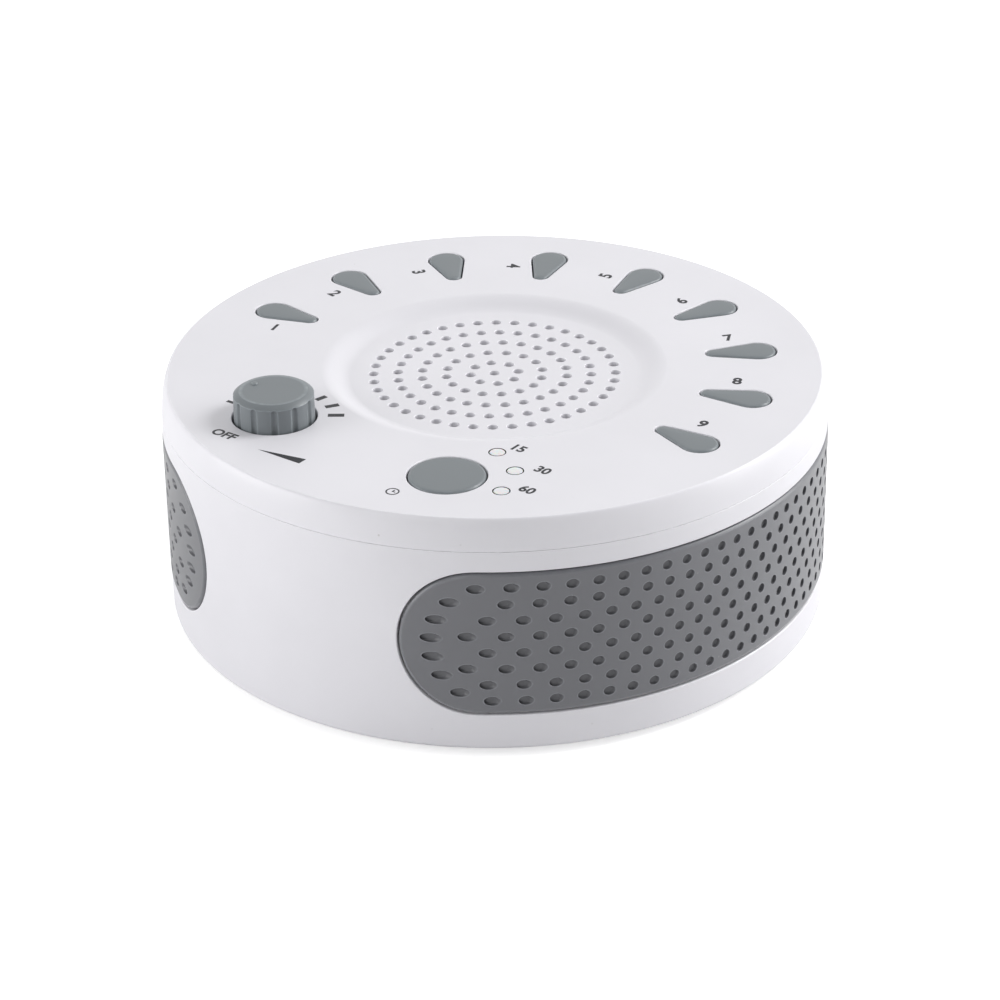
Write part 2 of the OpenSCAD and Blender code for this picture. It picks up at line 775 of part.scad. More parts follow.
module right_grip() { color(grip_grey) grip_panel(); }
module left_grip() { color(grip_grey) rotate([0, 0, 180]) grip_panel(); }

// ---------------------------------------------------------------- buttons

// Teardrop cap with a rounded edge, a lip under the cover and a stem to its switch
module sound_button(n) {
    color(trim_grey)
    rotate([0, 0, button_a(n)]) {
        translate([0, 0, z_lip - cap_lip_t])
            linear_extrude(z_cap_top - cap_round - z_lip + cap_lip_t) teardrop(-cap_gap);
        translate([0, 0, z_lip - cap_lip_t])
            linear_extrude(cap_lip_t) teardrop(cap_lip);
        hull() {
            translate([button_in_r, 0, 0])
                rounded_disc(opening_tip_r - cap_gap, z_cap_top - 2 * cap_round, z_cap_top,
                    cap_round, $fn = 32);
            translate([button_out_r, 0, 0])
                rounded_disc(opening_end_r - cap_gap, z_cap_top - 2 * cap_round, z_cap_top,
                    cap_round, $fn = 32);
        }
        translate([button_mid_r, 0, z_plunger])
            cylinder(r = stem_r, h = z_lip - cap_lip_t + eps - z_plunger);
    }
}

module timer_button() {
    color(trim_grey)
    translate([timer_x, timer_y, 0]) {
        rounded_disc(timer_r, z_lip - cap_lip_t, z_cap_top, cap_round);
        translate([0, 0, z_lip - cap_lip_t])
            cylinder(r = timer_opening_d / 2 + cap_lip, h = cap_lip_t);
        translate([0, 0, z_plunger]) cylinder(r = stem_r, h = z_lip - cap_lip_t + eps - z_plunger);
    }
}

// ---------------------------------------------------------------- volume control

module knob_flutes() {
    for (i = [0:flutes - 1])
        rotate([0, 0, pointer_a + flute_lead_a + i * 360 / flutes])
            translate([knob_d / 2 + flute_r * 0.45, 0, z_knob - 1])
                cylinder(r = flute_r, h = z_knob_top - flute_drop - z_knob + 1, $fn = 24);
}

// Top edge of the knob: a curve between a chamfer and a quarter of an ellipse
knob_edge_power = 0.75;
function knob_edge() = [for (i = [0:arc_steps]) let (a = 90 * i / arc_steps)
    [knob_top_d / 2 - knob_edge_w * (1 - pow(cos(a), 2 * knob_edge_power)),
        z_knob_top - knob_edge_h * (1 - pow(sin(a), 2 * knob_edge_power))]];

// Pointer mark: a small raised drop near the edge
mark_inset = 2.1;
mark_r = 0.75;
mark_h = 0.3;

// Flat of the shaft, seen from the pointer's side
module shaft_section(r) {
    intersection() {
        circle(r = r);
        translate([-r, -r]) square([r + shaft_flat, 2 * r]);
    }
}

module volume_knob() {
    color(trim_grey)
    translate([knob_x, knob_y, 0]) {
        difference() {
            rotate_extrude()
                polygon(concat([[0, z_knob], [knob_d / 2, z_knob]], knob_edge(),
                    [[0, z_knob_top]]));
            knob_flutes();
            translate([0, 0, z_knob - 1])
                linear_extrude(z_shaft_top - z_knob + 1) shaft_section(shaft_d / 2);
            rotate_extrude()
                translate([knob_hub_r, z_knob - 1])
                    square([knob_d / 2 - knob_skirt_t - knob_hub_r, 5]);
        }
        rotate([0, 0, pointer_a])
            translate([knob_top_d / 2 - knob_edge_w - mark_inset, 0, z_knob_top - eps])
                rounded_disc(mark_r, 0, mark_h, mark_h / 2, $fn = 32);
    }
}

module pot_shaft() {
    color(steel)
    translate([knob_x, knob_y, 0]) {
        translate([0, 0, z_shaft_foot]) cylinder(d = shaft_d, h = z_bushing - z_shaft_foot);
        translate([0, 0, z_bushing])
            linear_extrude(z_shaft_top - z_bushing) shaft_section(shaft_d / 2);
    }
}

module potentiometer() {
    color(part_black)
    translate([knob_x, knob_y, 0])
        difference() {
            union() {
                translate([0, 0, z_board_top]) cylinder(r = pot_r, h = z_pot_top - z_board_top);
                translate([0, 0, z_pot_top - eps])
                    cylinder(r = bushing_r, h = z_bushing - z_pot_top + eps);
                translate([-5, -pot_r - 1.5, z_board_top]) cube([10, pot_r, 3]);
            }
            translate([0, 0, z_shaft_foot - 0.5])
                cylinder(r = shaft_d / 2 + shaft_gap, h = z_bushing - z_shaft_foot + 2);
        }
}

// ---------------------------------------------------------------- control board

module control_board() {
    color(board_green)
    translate([0, 0, z_board])
        difference() {
            cylinder(r = board_out_r, h = board_t);
            translate([0, 0, -1]) cylinder(r = board_in_r, h = board_t + 2);
            for (a = post_places_a)
                at(a, post_ring_r) translate([0, 0, -1]) cylinder(r = post_r + 0.6, h = board_t + 2);
            for (p = board_posts)
                at(p[0], p[1]) translate([0, 0, -1])
                    cylinder(r = small_screw_r + 0.3, h = board_t + 2);
        }
}

// Places children at every switch: nine sound switches and the timer switch
module at_switch(n) {
    if (n > sound_buttons) translate([timer_x, timer_y, 0]) children();
    else at(button_a(n), button_mid_r) children();
}

module tact_switches() {
    color(part_black)
    for (n = [1:sound_buttons + 1])
        at_switch(n) translate([0, 0, z_board_top])
            difference() {
                union() {
                    translate([-switch_w / 2, -switch_w / 2, 0])
                        cube([switch_w, switch_w, switch_h - 0.3]);
                    cylinder(r = switch_w / 2 - 0.5, h = switch_h);
                }
                translate([0, 0, plunger_seat])
                    cylinder(r = plunger_r + plunger_gap, h = switch_h);
            }
}

module switch_plunger(n) {
    color(case_white)
    at_switch(n) translate([0, 0, z_board_top + plunger_seat + button_travel + 0.2])
        cylinder(r = plunger_r, h = z_plunger - z_board_top - plunger_seat - button_travel - 0.2);
}

// Light pipes end flush with the top face and rest on their diodes
led_r = 1.5;
led_h = 4.2;
module timer_light_pipes() {
    color([0.96, 0.96, 0.95])
    for (p = light_places)
        translate([p[0], p[1], 0]) {
            translate([0, 0, z_board_top + led_h])
                cylinder(d = light_d, h = z_rim - z_board_top - led_h);
            translate([0, 0, z_plate - 1]) cylinder(r = light_d / 2 + 0.9, h = 1);
        }
}

module timer_leds() {
    color([0.85, 0.9, 0.85])
    for (p = light_places)
        translate([p[0], p[1], z_board_top]) {
            cylinder(r = led_r + 0.4, h = 1);
            rounded_disc(led_r, 0, led_h, 1.2, $fn = 32);
        }
}

module chip(w, l, h, pins) {
    translate([-w / 2, -l / 2, 0.1]) cube([w, l, h - 0.1]);
    for (i = [0:pins - 1])
        translate([-w / 2 - 1, -l / 2 + (i + 0.5) * l / pins - 0.2, 0])
            cube([w + 2, 0.4, 0.3]);
}

module amplifier_chip() {
    color(part_black) at(222, 47) translate([0, 0, z_board_top]) chip(5, 10, 1.6, 8);
}

module sound_chip() {
    color(part_black) at(282, 43.5) translate([0, 0, z_board_top]) chip(6, 6, 1.4, 8);
}

capacitor_places = [[262, 60], [270, 60], [278, 60]];
capacitor_r = 3.15;
module capacitors() {
    color([0.16, 0.18, 0.30])
    for (p = capacitor_places)
        at(p[0], p[1]) translate([0, 0, z_board_top])
            difference() {
                rounded_disc(capacitor_r, 0, 7, 0.5, $fn = 48);
                rotate_extrude() translate([capacitor_r, 1.2]) circle(r = 0.35, $fn = 16);
            }
}

// Header shell with its open mouth at z = 0, standing up from its board at z = header_h
module header() {
    difference() {
        translate([-header_w / 2, -header_l / 2, 0]) cube([header_w, header_l, header_h]);
        translate([-header_w / 2 + 0.8, -header_l / 2 + 0.8, -1])
            cube([header_w - 1.6, header_l - 1.6, header_h - 0.2]);
    }
    for (x = [-1, 1])
        translate([x * lead_half_pitch, 0, header_h / 2]) cylinder(r = lead_d / 2 + 0.3, h = header_h / 2);
}

module lead_connectors() {
    color([0.9, 0.88, 0.8]) {
        translate([board_header_x, board_header_y, z_board - header_h]) header();
        translate([speaker_header_x, 0, z_board - header_h]) rotate([0, 0, 90]) header();
        for (x = [supply_header_x, battery_header_x])
            translate([x, header_y, z_power_board_top + header_h]) rotate([180, 0, 0]) header();
    }
}

// ---------------------------------------------------------------- speaker

module dust_cloth() {
    color(part_black)
    translate([0, 0, z_dish_under - cloth_t]) cylinder(r = cloth_r, h = cloth_t);
}

module speaker_gasket() {
    color(part_black)
    rotate_extrude() translate([seat_in_r, z_gasket]) square([speaker_r - seat_in_r, gasket_t]);
}

// Half-roll surround with its flat edge between basket and gasket
module speaker_surround() {
    color(part_black)
    rotate_extrude()
        polygon(concat(
            [[speaker_r, z_basket_top], [speaker_r, z_gasket]],
            arc(roll_mid_r, z_gasket, roll_r, 0, 180),
            [[cone_r - 1, z_gasket], [cone_r - 1, z_basket_top]],
            reversed(arc(roll_mid_r, z_basket_top, roll_r - surround_t, 0, 180))));
}

module speaker_cone() {
    color([0.2, 0.2, 0.21])
    rotate_extrude()
        polygon([[coil_r, z_cone_foot], [coil_r + 1, z_cone_foot],
            [cone_r - 0.6, z_basket_top - cone_t], [cone_r, z_basket_top - cone_t],
            [cone_r, z_basket_top], [cone_r - 1, z_basket_top], [coil_r, z_cone_foot + cone_t]]);
}

dome_r = coil_r + 1.5;
dome_h = 3;
module speaker_dust_cap() {
    color([0.15, 0.15, 0.16]) {
        sphere_r = (dome_r * dome_r + dome_h * dome_h) / (2 * dome_h);
        half_a = asin(dome_r / sphere_r);
        z_foot = z_cone_foot + cone_t + 1.5;
        rotate_extrude()
            polygon(concat(
                [for (i = [0:arc_steps]) let (a = half_a * i / arc_steps)
                    [sphere_r * sin(a), z_foot + dome_h - sphere_r + sphere_r * cos(a)]],
                [for (i = [arc_steps:-1:0]) let (a = half_a * i / arc_steps)
                    [(sphere_r - 0.4) * sin(a), z_foot + dome_h - sphere_r + (sphere_r - 0.4) * cos(a)]]));
    }
}

module voice_coil() {
    color([0.72, 0.45, 0.2])
    rotate_extrude()
        translate([coil_r - coil_t, z_top_plate - 1])
            square([coil_t, z_cone_foot + cone_t - z_top_plate + 1]);
}

// Corrugated disc that centres the voice coil
spider_waves = 3;
spider_steps = 8 * spider_waves;
spider_t = 0.4;
spider_wave_h = 0.5;
function spider_wave(i, z) =
    [coil_r + (basket_floor_r - coil_r) * i / spider_steps,
        z + spider_wave_h * sin(360 * spider_waves * i / spider_steps)];
module speaker_spider() {
    color([0.65, 0.5, 0.3])
    rotate_extrude()
        polygon(concat([for (i = [0:spider_steps]) spider_wave(i, z_spider)],
            [for (i = [spider_steps:-1:0]) spider_wave(i, z_spider - spider_t)]));
}

module speaker_basket() {
    color(steel)
    difference() {
        union() {
            rotate_extrude()
                polygon([
                    [seat_in_r - 0.2, z_basket_top], [speaker_r, z_basket_top],
                    [speaker_r, z_basket_under], [basket_window_r, z_basket_under],
                    [basket_floor_r + basket_t + 0.6, z_spider - 0.4],
                    [basket_floor_r + basket_t, z_basket_floor],
                    [plate_hole_r + 0.6, z_basket_floor],
                    [plate_hole_r + 0.6, z_basket_floor + basket_t],
                    [basket_floor_r, z_basket_floor + basket_t],
                    [basket_floor_r, z_spider + 0.2]]);
            for (a = speaker_ears_a)
                at(a, speaker_screw_r) translate([0, 0, z_basket_under]) {
                    cylinder(r = ear_r, h = basket_t);
                    translate([speaker_r - 1 - speaker_screw_r, -ear_r, 0])
                        cube([speaker_screw_r - speaker_r + 1, 2 * ear_r, basket_t]);
                }
        }
        for (a = speaker_ears_a)
            at(a, speaker_screw_r) translate([0, 0, z_basket_under - 1])
                cylinder(r = small_screw_r + 0.3, h = basket_t + 2);
        // four windows in the skirt
        for (a = [45:90:315])
            at(a, 0) translate([basket_floor_r - 2, -7, z_spider + 2])
                cube([20, 14, z_basket_under - z_spider - 3.5]);
    }
}

module speaker_top_plate() {
    color(steel)
    translate([0, 0, z_top_plate])
        difference() {
            cylinder(r = magnet_r - 1, h = top_plate_t);
            translate([0, 0, -1]) cylinder(r = plate_hole_r, h = top_plate_t + 2);
        }
}

module speaker_magnet() {
    color([0.2, 0.2, 0.22])
    translate([0, 0, z_magnet])
        difference() {
            cylinder(r = magnet_r, h = magnet_t);
            translate([0, 0, -1]) cylinder(r = plate_hole_r + 1, h = magnet_t + 2);
        }
}

module speaker_yoke() {
    color(steel)
    rotate_extrude()
        polygon([[0, z_yoke], [magnet_r - 1.8, z_yoke], [magnet_r - 1, z_yoke + 0.8],
            [magnet_r - 1, z_magnet], [pole_r, z_magnet], [pole_r, z_basket_floor],
            [0, z_basket_floor]]);
}

// Terminal strip under the rim, with two solder lugs
module speaker_terminals() {
    color([0.6, 0.45, 0.25])
    translate([-terminal_r, 0, z_basket_under - terminal_h]) {
        translate([-0.5, -5, 0]) cube([1, 10, terminal_h]);
        for (y = [-1, 1])
            translate([-1, 2.5 * y - 1, 1]) cube([0.5 + eps, 2, terminal_h - 2]);
    }
}

module speaker_screws() {
    color(steel)
    for (a = speaker_ears_a)
        at(a, speaker_screw_r) translate([0, 0, z_basket_under])
            screw(small_screw_r, speaker_screw_l, small_head_r, small_head_t);
}

// ---------------------------------------------------------------- battery bay and power

module battery_door() {
    color(case_white)
    difference() {
        union() {
            translate([-door_half_w, -door_half_l, z_bottom])
                cube([2 * door_half_w, door_half_l + hinge_y, door_t]);
            translate([-door_half_w, hinge_y, hinge_z]) rotate([0, 90, 0])
                cylinder(r = barrel_r, h = 2 * door_half_w);
            translate([-door_half_w - hinge_pin_l + door_gap, hinge_y, hinge_z]) rotate([0, 90, 0])
                cylinder(r = door_pin_r, h = 2 * (door_half_w + hinge_pin_l - door_gap));
            // inner stiffening ribs
            for (x = [-bay_w / 4, bay_w / 4])
                translate([x - 0.6, -bay_l / 2 + 3, z_door_top - eps]) cube([1.2, bay_l - 10, 0.8]);
            // finger ridges beside the catch
            for (i = [0:3])
                translate([-7, -door_half_l + 4 + 2.2 * i, z_bottom - 0.4]) cube([14, 1, 0.5]);
        }
        // slots that let the catch flex
        for (x = [-8.5, 7.5])
            translate([x, -door_half_l - 1, z_bottom - 1]) cube([1, 10, door_t + 2]);
    }
}

// Contact plates: singles with a tail at the rear for the leads, doubles elsewhere
module battery_plates() {
    color(steel) {
        for (n = [0, cells - 1]) {
            translate([cell_x(n) - contact_w / 2, bay_l / 2 - contact_t, z_cell - contact_h / 2])
                cube([contact_w, contact_t, contact_h]);
            translate([cell_x(n) - tail_w / 2, bay_l / 2 - eps, z_cell - contact_t])
                cube([tail_w, bay_t + tail_out, contact_t]);
        }
        double_w = contact_w + cell_pitch;
        translate([-double_w / 2, bay_l / 2 - contact_t, z_cell - contact_h / 2])
            cube([double_w, contact_t, contact_h]);
        for (x = [cell_x(0.5), cell_x(cells - 1.5)])
            translate([x - double_w / 2, -bay_l / 2, z_cell - contact_h / 2])
                cube([double_w, contact_t, contact_h]);
    }
}

// Cone-shaped coil springs on the negative contacts, end to end in turn
module battery_springs() {
    color(steel)
    for (n = [0:cells - 1]) {
        end = n % 2 == 0 ? 1 : -1;
        steps = 14 * spring_turns;
        path = [for (i = [0:steps]) let (
            t = i / steps,
            a = 360 * spring_turns * t,
            r = spring_foot_r + (spring_tip_r - spring_foot_r) * t)
            [cell_x(n) + r * cos(a),
                end * (bay_l / 2 - contact_t - spring_wire_d / 2 - (spring_l - spring_wire_d) * t),
                z_cell + r * sin(a)]];
        wire(path, spring_wire_d / 2, [0, 1, 0]);
    }
}

// Supply jack: square body on the power board with a round nose in the rear wall
module dc_jack() {
    color(part_black)
    translate([0, 0, z_jack]) {
        difference() {
            union() {
                translate([-jack_body_w / 2, jack_body_y - jack_body_l, -jack_axis_h])
                    cube([jack_body_w, jack_body_l, jack_body_h]);
                translate([0, jack_body_y - 1, 0]) rotate([-90, 0, 0])
                    cylinder(d = jack_d, h = case_r - 0.3 - jack_body_y + 1);
            }
            translate([0, jack_body_y - jack_body_l + 2, 0]) rotate([-90, 0, 0])
                cylinder(r = jack_bore_r, h = jack_body_l + 10);
        }
        translate([0, jack_body_y - jack_body_l + 1, 0]) rotate([-90, 0, 0])
            cylinder(r = jack_pin_r, h = jack_body_l - 1.5 + 3);
    }
}

module power_board() {
    color(board_green)
    translate([-power_board_w / 2, power_board_y - power_board_l / 2, z_power_board])
        difference() {
            cube([power_board_w, power_board_l, board_t]);
            for (x = [-power_post_x, power_post_x])
                translate([power_board_w / 2 + x, power_board_l / 2 - power_board_y + power_post_y, -1])
                    cylinder(r = small_screw_r + 0.3, h = board_t + 2);
        }
}

module lead_pair(path, side) {
    for (s = [-1, 1]) wire([for (p = path) p + s * side * lead_half_pitch], lead_d / 2,
        cross(side, path[len(path) - 1] - path[0]));
}

module speaker_leads() {
    color([0.7, 0.1, 0.1]) {
        z_end = z_board - header_h / 2 - lead_gap;
        from = [-terminal_r - 1 - lead_gap, 0, z_basket_under - terminal_h + 2];
        to = [speaker_header_x, 0, z_end];
        lead_pair(curve(from, from - [6, 0, 0], to - [0, 0, 14], to), [0, 1, 0]);
    }
}

module power_leads() {
    color([0.1, 0.1, 0.12]) {
        from = [supply_header_x, header_y, z_power_board_top + header_h / 2 + lead_gap];
        to = [board_header_x, board_header_y, z_board - header_h / 2 - lead_gap];
        lead_pair(curve(from, from + [0, 0, 14], to - [0, 0, 14], to), [1, 0, 0]);
    }
}

module battery_leads() {
    color([0.6, 0.1, 0.1])
    for (s = [-1, 1]) {
        from = [s * cell_x(cells - 1), bay_l / 2 + bay_t + tail_out - 0.4, z_cell + lead_d / 2];
        to = [battery_header_x + s * lead_half_pitch, header_y,
            z_power_board_top + header_h / 2 + lead_gap];
        wire(curve(from, from + [-4 * s, 6, 3], to + [0, 0, 14], to), lead_d / 2, [0, 1, 0]);
    }
}

// ---------------------------------------------------------------- feet and screws

module rubber_feet() {
    color(part_black)
    for (a = foot_places_a)
        at(a, foot_ring_r)
            mirror([0, 0, 1]) translate([0, 0, -z_bottom - foot_recess])
                rounded_disc(foot_d / 2, 0, foot_h + foot_recess, 0.5);
}

module case_screws() {
    color(steel)
    for (a = post_places_a)
        at(a, post_ring_r) translate([0, 0, z_screw_seat])
            screw(case_screw_r, case_screw_l, case_head_r, case_head_t);
}

module board_screws() {
    color(steel) {
        for (p = board_posts)
            at(p[0], p[1]) translate([0, 0, z_board])
                screw(small_screw_r, small_screw_l, small_head_r, small_head_t);
        for (x = [-power_post_x, power_post_x])
            translate([x, power_post_y, z_power_board_top]) rotate([180, 0, 0])
                screw(small_screw_r, board_t + 2, small_head_r, small_head_t);
    }
}

top_cover();
lower_housing();
left_grip();
right_grip();
sound_button(1);  // sound_button_1
sound_button(2);  // sound_button_2
sound_button(3);  // sound_button_3
sound_button(4);  // sound_button_4
sound_button(5);  // sound_button_5
sound_button(6);  // sound_button_6
sound_button(7);  // sound_button_7
sound_button(8);  // sound_button_8
sound_button(9);  // sound_button_9
timer_button();
volume_knob();
pot_shaft();
potentiometer();
control_board();
tact_switches();
switch_plunger(1);  // switch_plunger_1
switch_plunger(2);  // switch_plunger_2
switch_plunger(3);  // switch_plunger_3
switch_plunger(4);  // switch_plunger_4
switch_plunger(5);  // switch_plunger_5
switch_plunger(6);  // switch_plunger_6
switch_plunger(7);  // switch_plunger_7
switch_plunger(8);  // switch_plunger_8
switch_plunger(9);  // switch_plunger_9
switch_plunger(sound_buttons + 1);  // timer_switch_plunger
timer_light_pipes();
timer_leds();
dust_cloth();
speaker_basket();
speaker_surround();
speaker_cone();
speaker_dust_cap();
voice_coil();
speaker_spider();
speaker_top_plate();
speaker_magnet();
speaker_yoke();
speaker_gasket();
speaker_terminals();
speaker_screws();
battery_door();
battery_springs();
battery_plates();
dc_jack();
power_board();
amplifier_chip();
sound_chip();
capacitors();
lead_connectors();
speaker_leads();
battery_leads();
power_leads();
rubber_feet();
case_screws();
board_screws();
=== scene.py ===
"""Dresses a round sound machine: case, dimpled grips, caps, knob, printing and finishes."""

import json
import math

import bmesh
import bpy
import numpy as np
from mathutils import Matrix, Vector
from mathutils.geometry import delaunay_2d_cdt


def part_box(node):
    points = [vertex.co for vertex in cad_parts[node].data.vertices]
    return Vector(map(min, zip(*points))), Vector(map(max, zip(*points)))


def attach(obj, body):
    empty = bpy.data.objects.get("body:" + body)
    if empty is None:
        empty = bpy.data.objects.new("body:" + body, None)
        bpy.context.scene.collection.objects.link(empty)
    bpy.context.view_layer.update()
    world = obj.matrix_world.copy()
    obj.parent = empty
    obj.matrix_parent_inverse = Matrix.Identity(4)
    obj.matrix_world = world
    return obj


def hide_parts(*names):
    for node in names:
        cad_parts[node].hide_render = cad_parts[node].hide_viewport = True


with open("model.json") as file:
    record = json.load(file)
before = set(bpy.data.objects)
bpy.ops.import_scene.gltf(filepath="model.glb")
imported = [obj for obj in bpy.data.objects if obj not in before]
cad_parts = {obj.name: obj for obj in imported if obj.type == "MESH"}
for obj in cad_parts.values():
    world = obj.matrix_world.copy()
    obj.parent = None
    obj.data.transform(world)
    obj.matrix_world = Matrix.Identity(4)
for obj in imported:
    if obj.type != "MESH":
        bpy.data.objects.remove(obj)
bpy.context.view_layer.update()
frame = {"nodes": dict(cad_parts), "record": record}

bl_info = {
    "name": "Sound Machine Dressing",
    "version": (1, 0, 0),
    "blender": (4, 5, 0),
    "location": "View3D > Sidebar > Sound Machine",
    "description": "Builds the moulded skins, printing and finishes of a table-top sound machine",
    "category": "Object",
}

MM = 0.001
TAU = 2 * math.pi
WELD = 2e-6  # points closer than this are one point
LAP = 0.02 * MM  # how deep an added post or peg is sunk into the plate that carries it
# The flat margin also keeps the painted highlight of a rounded edge, which follows its relief, off
# the face beside it.
MARGIN = 0.12 * MM  # flat ring beside a rounded edge, which keeps the edge's tone to itself
INK = 0.025 * MM  # height of the print above the top face

# ------------------------------------------------------------------ places taken from the frame


def middle(node):
    """Middle of a CAD node's box."""
    low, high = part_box(node)
    return (low + high) / 2


RIM_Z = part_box("top_cover")[1].z
BASE_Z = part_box("lower_housing")[0].z
SEAM_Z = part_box("lower_housing")[1].z
CASE_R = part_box("lower_housing")[1].x
JOIN_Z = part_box("top_cover")[0].z
GRIP_Z = middle("right_grip").z
GRIP_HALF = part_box("right_grip")[1].z - GRIP_Z
GRIP_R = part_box("right_grip")[1].x
KNOB_AT = middle("pot_shaft")
KNOB_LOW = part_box("volume_knob")[0].z
TIMER_AT = middle("timer_button")
CAP_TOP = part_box("timer_button")[1].z
JACK_Z = middle("dc_jack").z
BOARD_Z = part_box("control_board")[1].z
PIPE_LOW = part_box("timer_light_pipes")[0].z
PLUNGER_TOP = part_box("switch_plunger_1")[1].z
BUTTONS = 9
SCREW_RING, SCREW_ANGLES = 59.5 * MM, (30, 150, 210, 330)  # the case screws, in degrees
FOOT_RING, FOOT_ANGLES = 58 * MM, (45, 135, 225, 315)  # the feet
SEAT_DEPTH = 0.8 * MM  # of a foot's seat in the floor
BOARD_POSTS = ((54, 60), (126, 60), (200, 55), (340, 55), (270, 48))  # degrees, mm from the middle


# ------------------------------------------------------------------ properties


def length(name, text, mm):
    """A length property, given in millimetres and kept in metres."""
    return bpy.props.FloatProperty(
        name=name, description=text, default=mm * MM, unit="LENGTH", precision=5)


def angle(name, text, degrees):
    """An angle property, given in degrees."""
    return bpy.props.FloatProperty(
        name=name, description=text, default=math.radians(degrees), subtype="ANGLE")


def count(name, text, default):
    """A whole number of at least one."""
    return bpy.props.IntProperty(name=name, description=text, default=default, min=1)


def colour(name, text, rgb):
    """A colour, in linear values."""
    return bpy.props.FloatVectorProperty(
        name=name, description=text, default=rgb, size=3, min=0, max=1, subtype="COLOR")


class CaseSizes(bpy.types.PropertyGroup):
    """Sizes of the cover and the housing."""

    round_steps: count("Round steps", "Points round the case", 240)
    plate: length("Plate", "Thickness of the top plate and of the floor", 2.2)
    wall: length("Wall", "Thickness of the side wall", 2.2)
    crown_height: length("Crown height", "Height over which the wall curves in to the rim", 10)
    crown_in: length("Crown inset", "How far the wall has curved in at the rim", 1.8)
    base_round: length("Base round", "Radius of the bottom edge", 1.2)
    seam_bevel: length("Seam bevel", "Bevel on each side of the seam", 0.05)
    seam_gap: length("Seam gap", "Half of the gap in the seam", 0.04)
    tongue_gap: length("Tongue gap", "Gap between the tongue and the housing wall", 0.1)
    tongue_height: length("Tongue height", "Height of the tongue", 1.6)
    tongue: length("Tongue", "Thickness of the tongue", 1.5)
    lip: length("Lip", "Radius of the edge of an opening", 0.28)
    dish_floor: length("Dish floor", "Radius of the flat floor of the dish", 31.5)
    dish_radius: length("Dish radius", "Radius at which the dish begins", 38)
    dish_depth: length("Dish depth", "Depth of the dish", 2.1)
    hole: length("Sound hole", "Radius of a sound hole", 1.15)
    hole_lip: length("Sound hole lip", "Radius of a sound hole's edge", 0.16)
    hole_pitch: length("Sound hole pitch", "Distance between rings of sound holes", 5.3)
    hole_rings: count("Sound hole rings", "Rings round the middle hole", 5)
    holes_per_ring: count("Holes per ring", "Holes in the first ring and added with each ring", 8)
    seat_in: length("Speaker seat inside", "Inner radius of the speaker's seat", 28.5)
    seat_out: length("Speaker seat outside", "Outer radius of the speaker's seat", 33)
    seat_height: length("Speaker seat height", "Height of the seat under the dish", 2.5)


class ControlSizes(bpy.types.PropertyGroup):
    """Sizes of the buttons, the knob and the lights."""

    first_angle: angle("First button", "Angle of the first sound button", 186)
    step_angle: angle("Button step", "Angle between sound buttons", 24)
    tip_at: length("Tip distance", "Distance of a button's small end from the middle", 48.4)
    end_at: length("End distance", "Distance of a button's large end from the middle", 58.2)
    tip: length("Tip radius", "Radius of an opening's small end", 1.9)
    end: length("End radius", "Radius of an opening's large end", 4.3)
    gap: length("Cap gap", "Gap between a cap and its opening", 0.3)
    cap_round: length("Cap round", "Radius of a cap's upper edge", 0.7)
    cap_lip: length("Cap lip", "Width of the lip under the cover", 1.1)
    lip_height: length("Cap lip height", "Thickness of that lip", 1.2)
    stem: length("Stem", "Radius of a cap's stem", 2)
    timer: length("Timer opening", "Radius of the timer button's opening", 8.4)
    dome: length("Dome", "Fall of a cap's face from its middle to its edge", 0.06)
    light: length("Light", "Radius of a light pipe", 1.65)
    light_gap: length("Light gap", "Gap round a light pipe", 0.25)
    light_at: length("Light arc", "Radius of the arc of lights", 13.2)
    light_back: length("Light arc shift", "Distance of the arc's centre behind the button", 1.2)
    light_angle: angle("Light angle", "Angle of the middle light on its arc", 39.5)
    light_step: angle("Light step", "Angle between lights", 41)
    knob_foot: length("Knob foot", "Radius of the knob at its foot", 8.75)
    knob_top: length("Knob top", "Radius of the knob at its top edge", 8.6)
    knob_height: length("Knob height", "Height of the knob above the top face", 6.1)
    edge_width: length("Knob edge width", "Width of the knob's top edge", 1.3)
    edge_height: length("Knob edge height", "Height of the knob's top edge", 0.9)
    flutes: count("Flutes", "Grooves round the knob", 12)
    flute: length("Flute", "Radius of a groove", 0.95)
    flute_drop: length("Flute drop", "Distance from the knob's top to the grooves' tips", 0.55)
    mark: length("Mark", "Radius of the raised mark on the knob", 0.75)
    mark_inset: length("Mark inset", "Distance from the edge to the mark's middle", 2.1)
    mark_height: length("Mark height", "Height of the mark", 0.3)
    pointer: angle("Pointer", "Angle of the knob's mark at the first tick", 180.7)
    flute_lead: angle("Flute lead", "Angle from the mark to the next groove", 10)
    well: length("Well", "Radius of the knob's well", 9.1)
    well_depth: length("Well depth", "Depth of the knob's well", 4)
    well_wall: length("Well wall", "Thickness of the well's wall and floor", 1.5)
    bore: length("Bore", "Radius of the bore in the well's floor", 4)
    shaft: length("Shaft", "Radius of the knob's shaft", 3)


class GripSizes(bpy.types.PropertyGroup):
    """Sizes of the dimpled grips."""

    end_angle: angle("End angle", "Angle from a grip's middle to the centre of its round end", 56.2)
    gap: length("Gap", "Gap round a grip", 0.35)
    recess: length("Recess", "Depth of the recess that holds a grip", 2.3)
    edge: length("Edge", "Radius of a grip's edge", 0.9)
    dimple: length("Dimple", "Radius of a dimple", 1.05)
    dimple_depth: length("Dimple depth", "Depth of a dimple", 0.7)
    pitch: length("Pitch", "Distance between dimples in a row", 4.58)
    row_pitch: length("Row pitch", "Distance between rows", 3.77)
    rows: count("Rows", "Rows in the middle field", 6)
    ring_inset: length("Ring inset", "Distance from the edge to the ring of dimples", 3.15)
    ring_pitch: length("Ring pitch", "Distance between dimples in the ring", 4.36)
    ring_start: length("Ring start", "Distance round the ring to the first dimple", 0.9)
    field_inset: length("Field inset", "Distance from the ring to the field", 3.1)
    peg: length("Peg", "Radius of the pegs that hold a grip", 1.8)


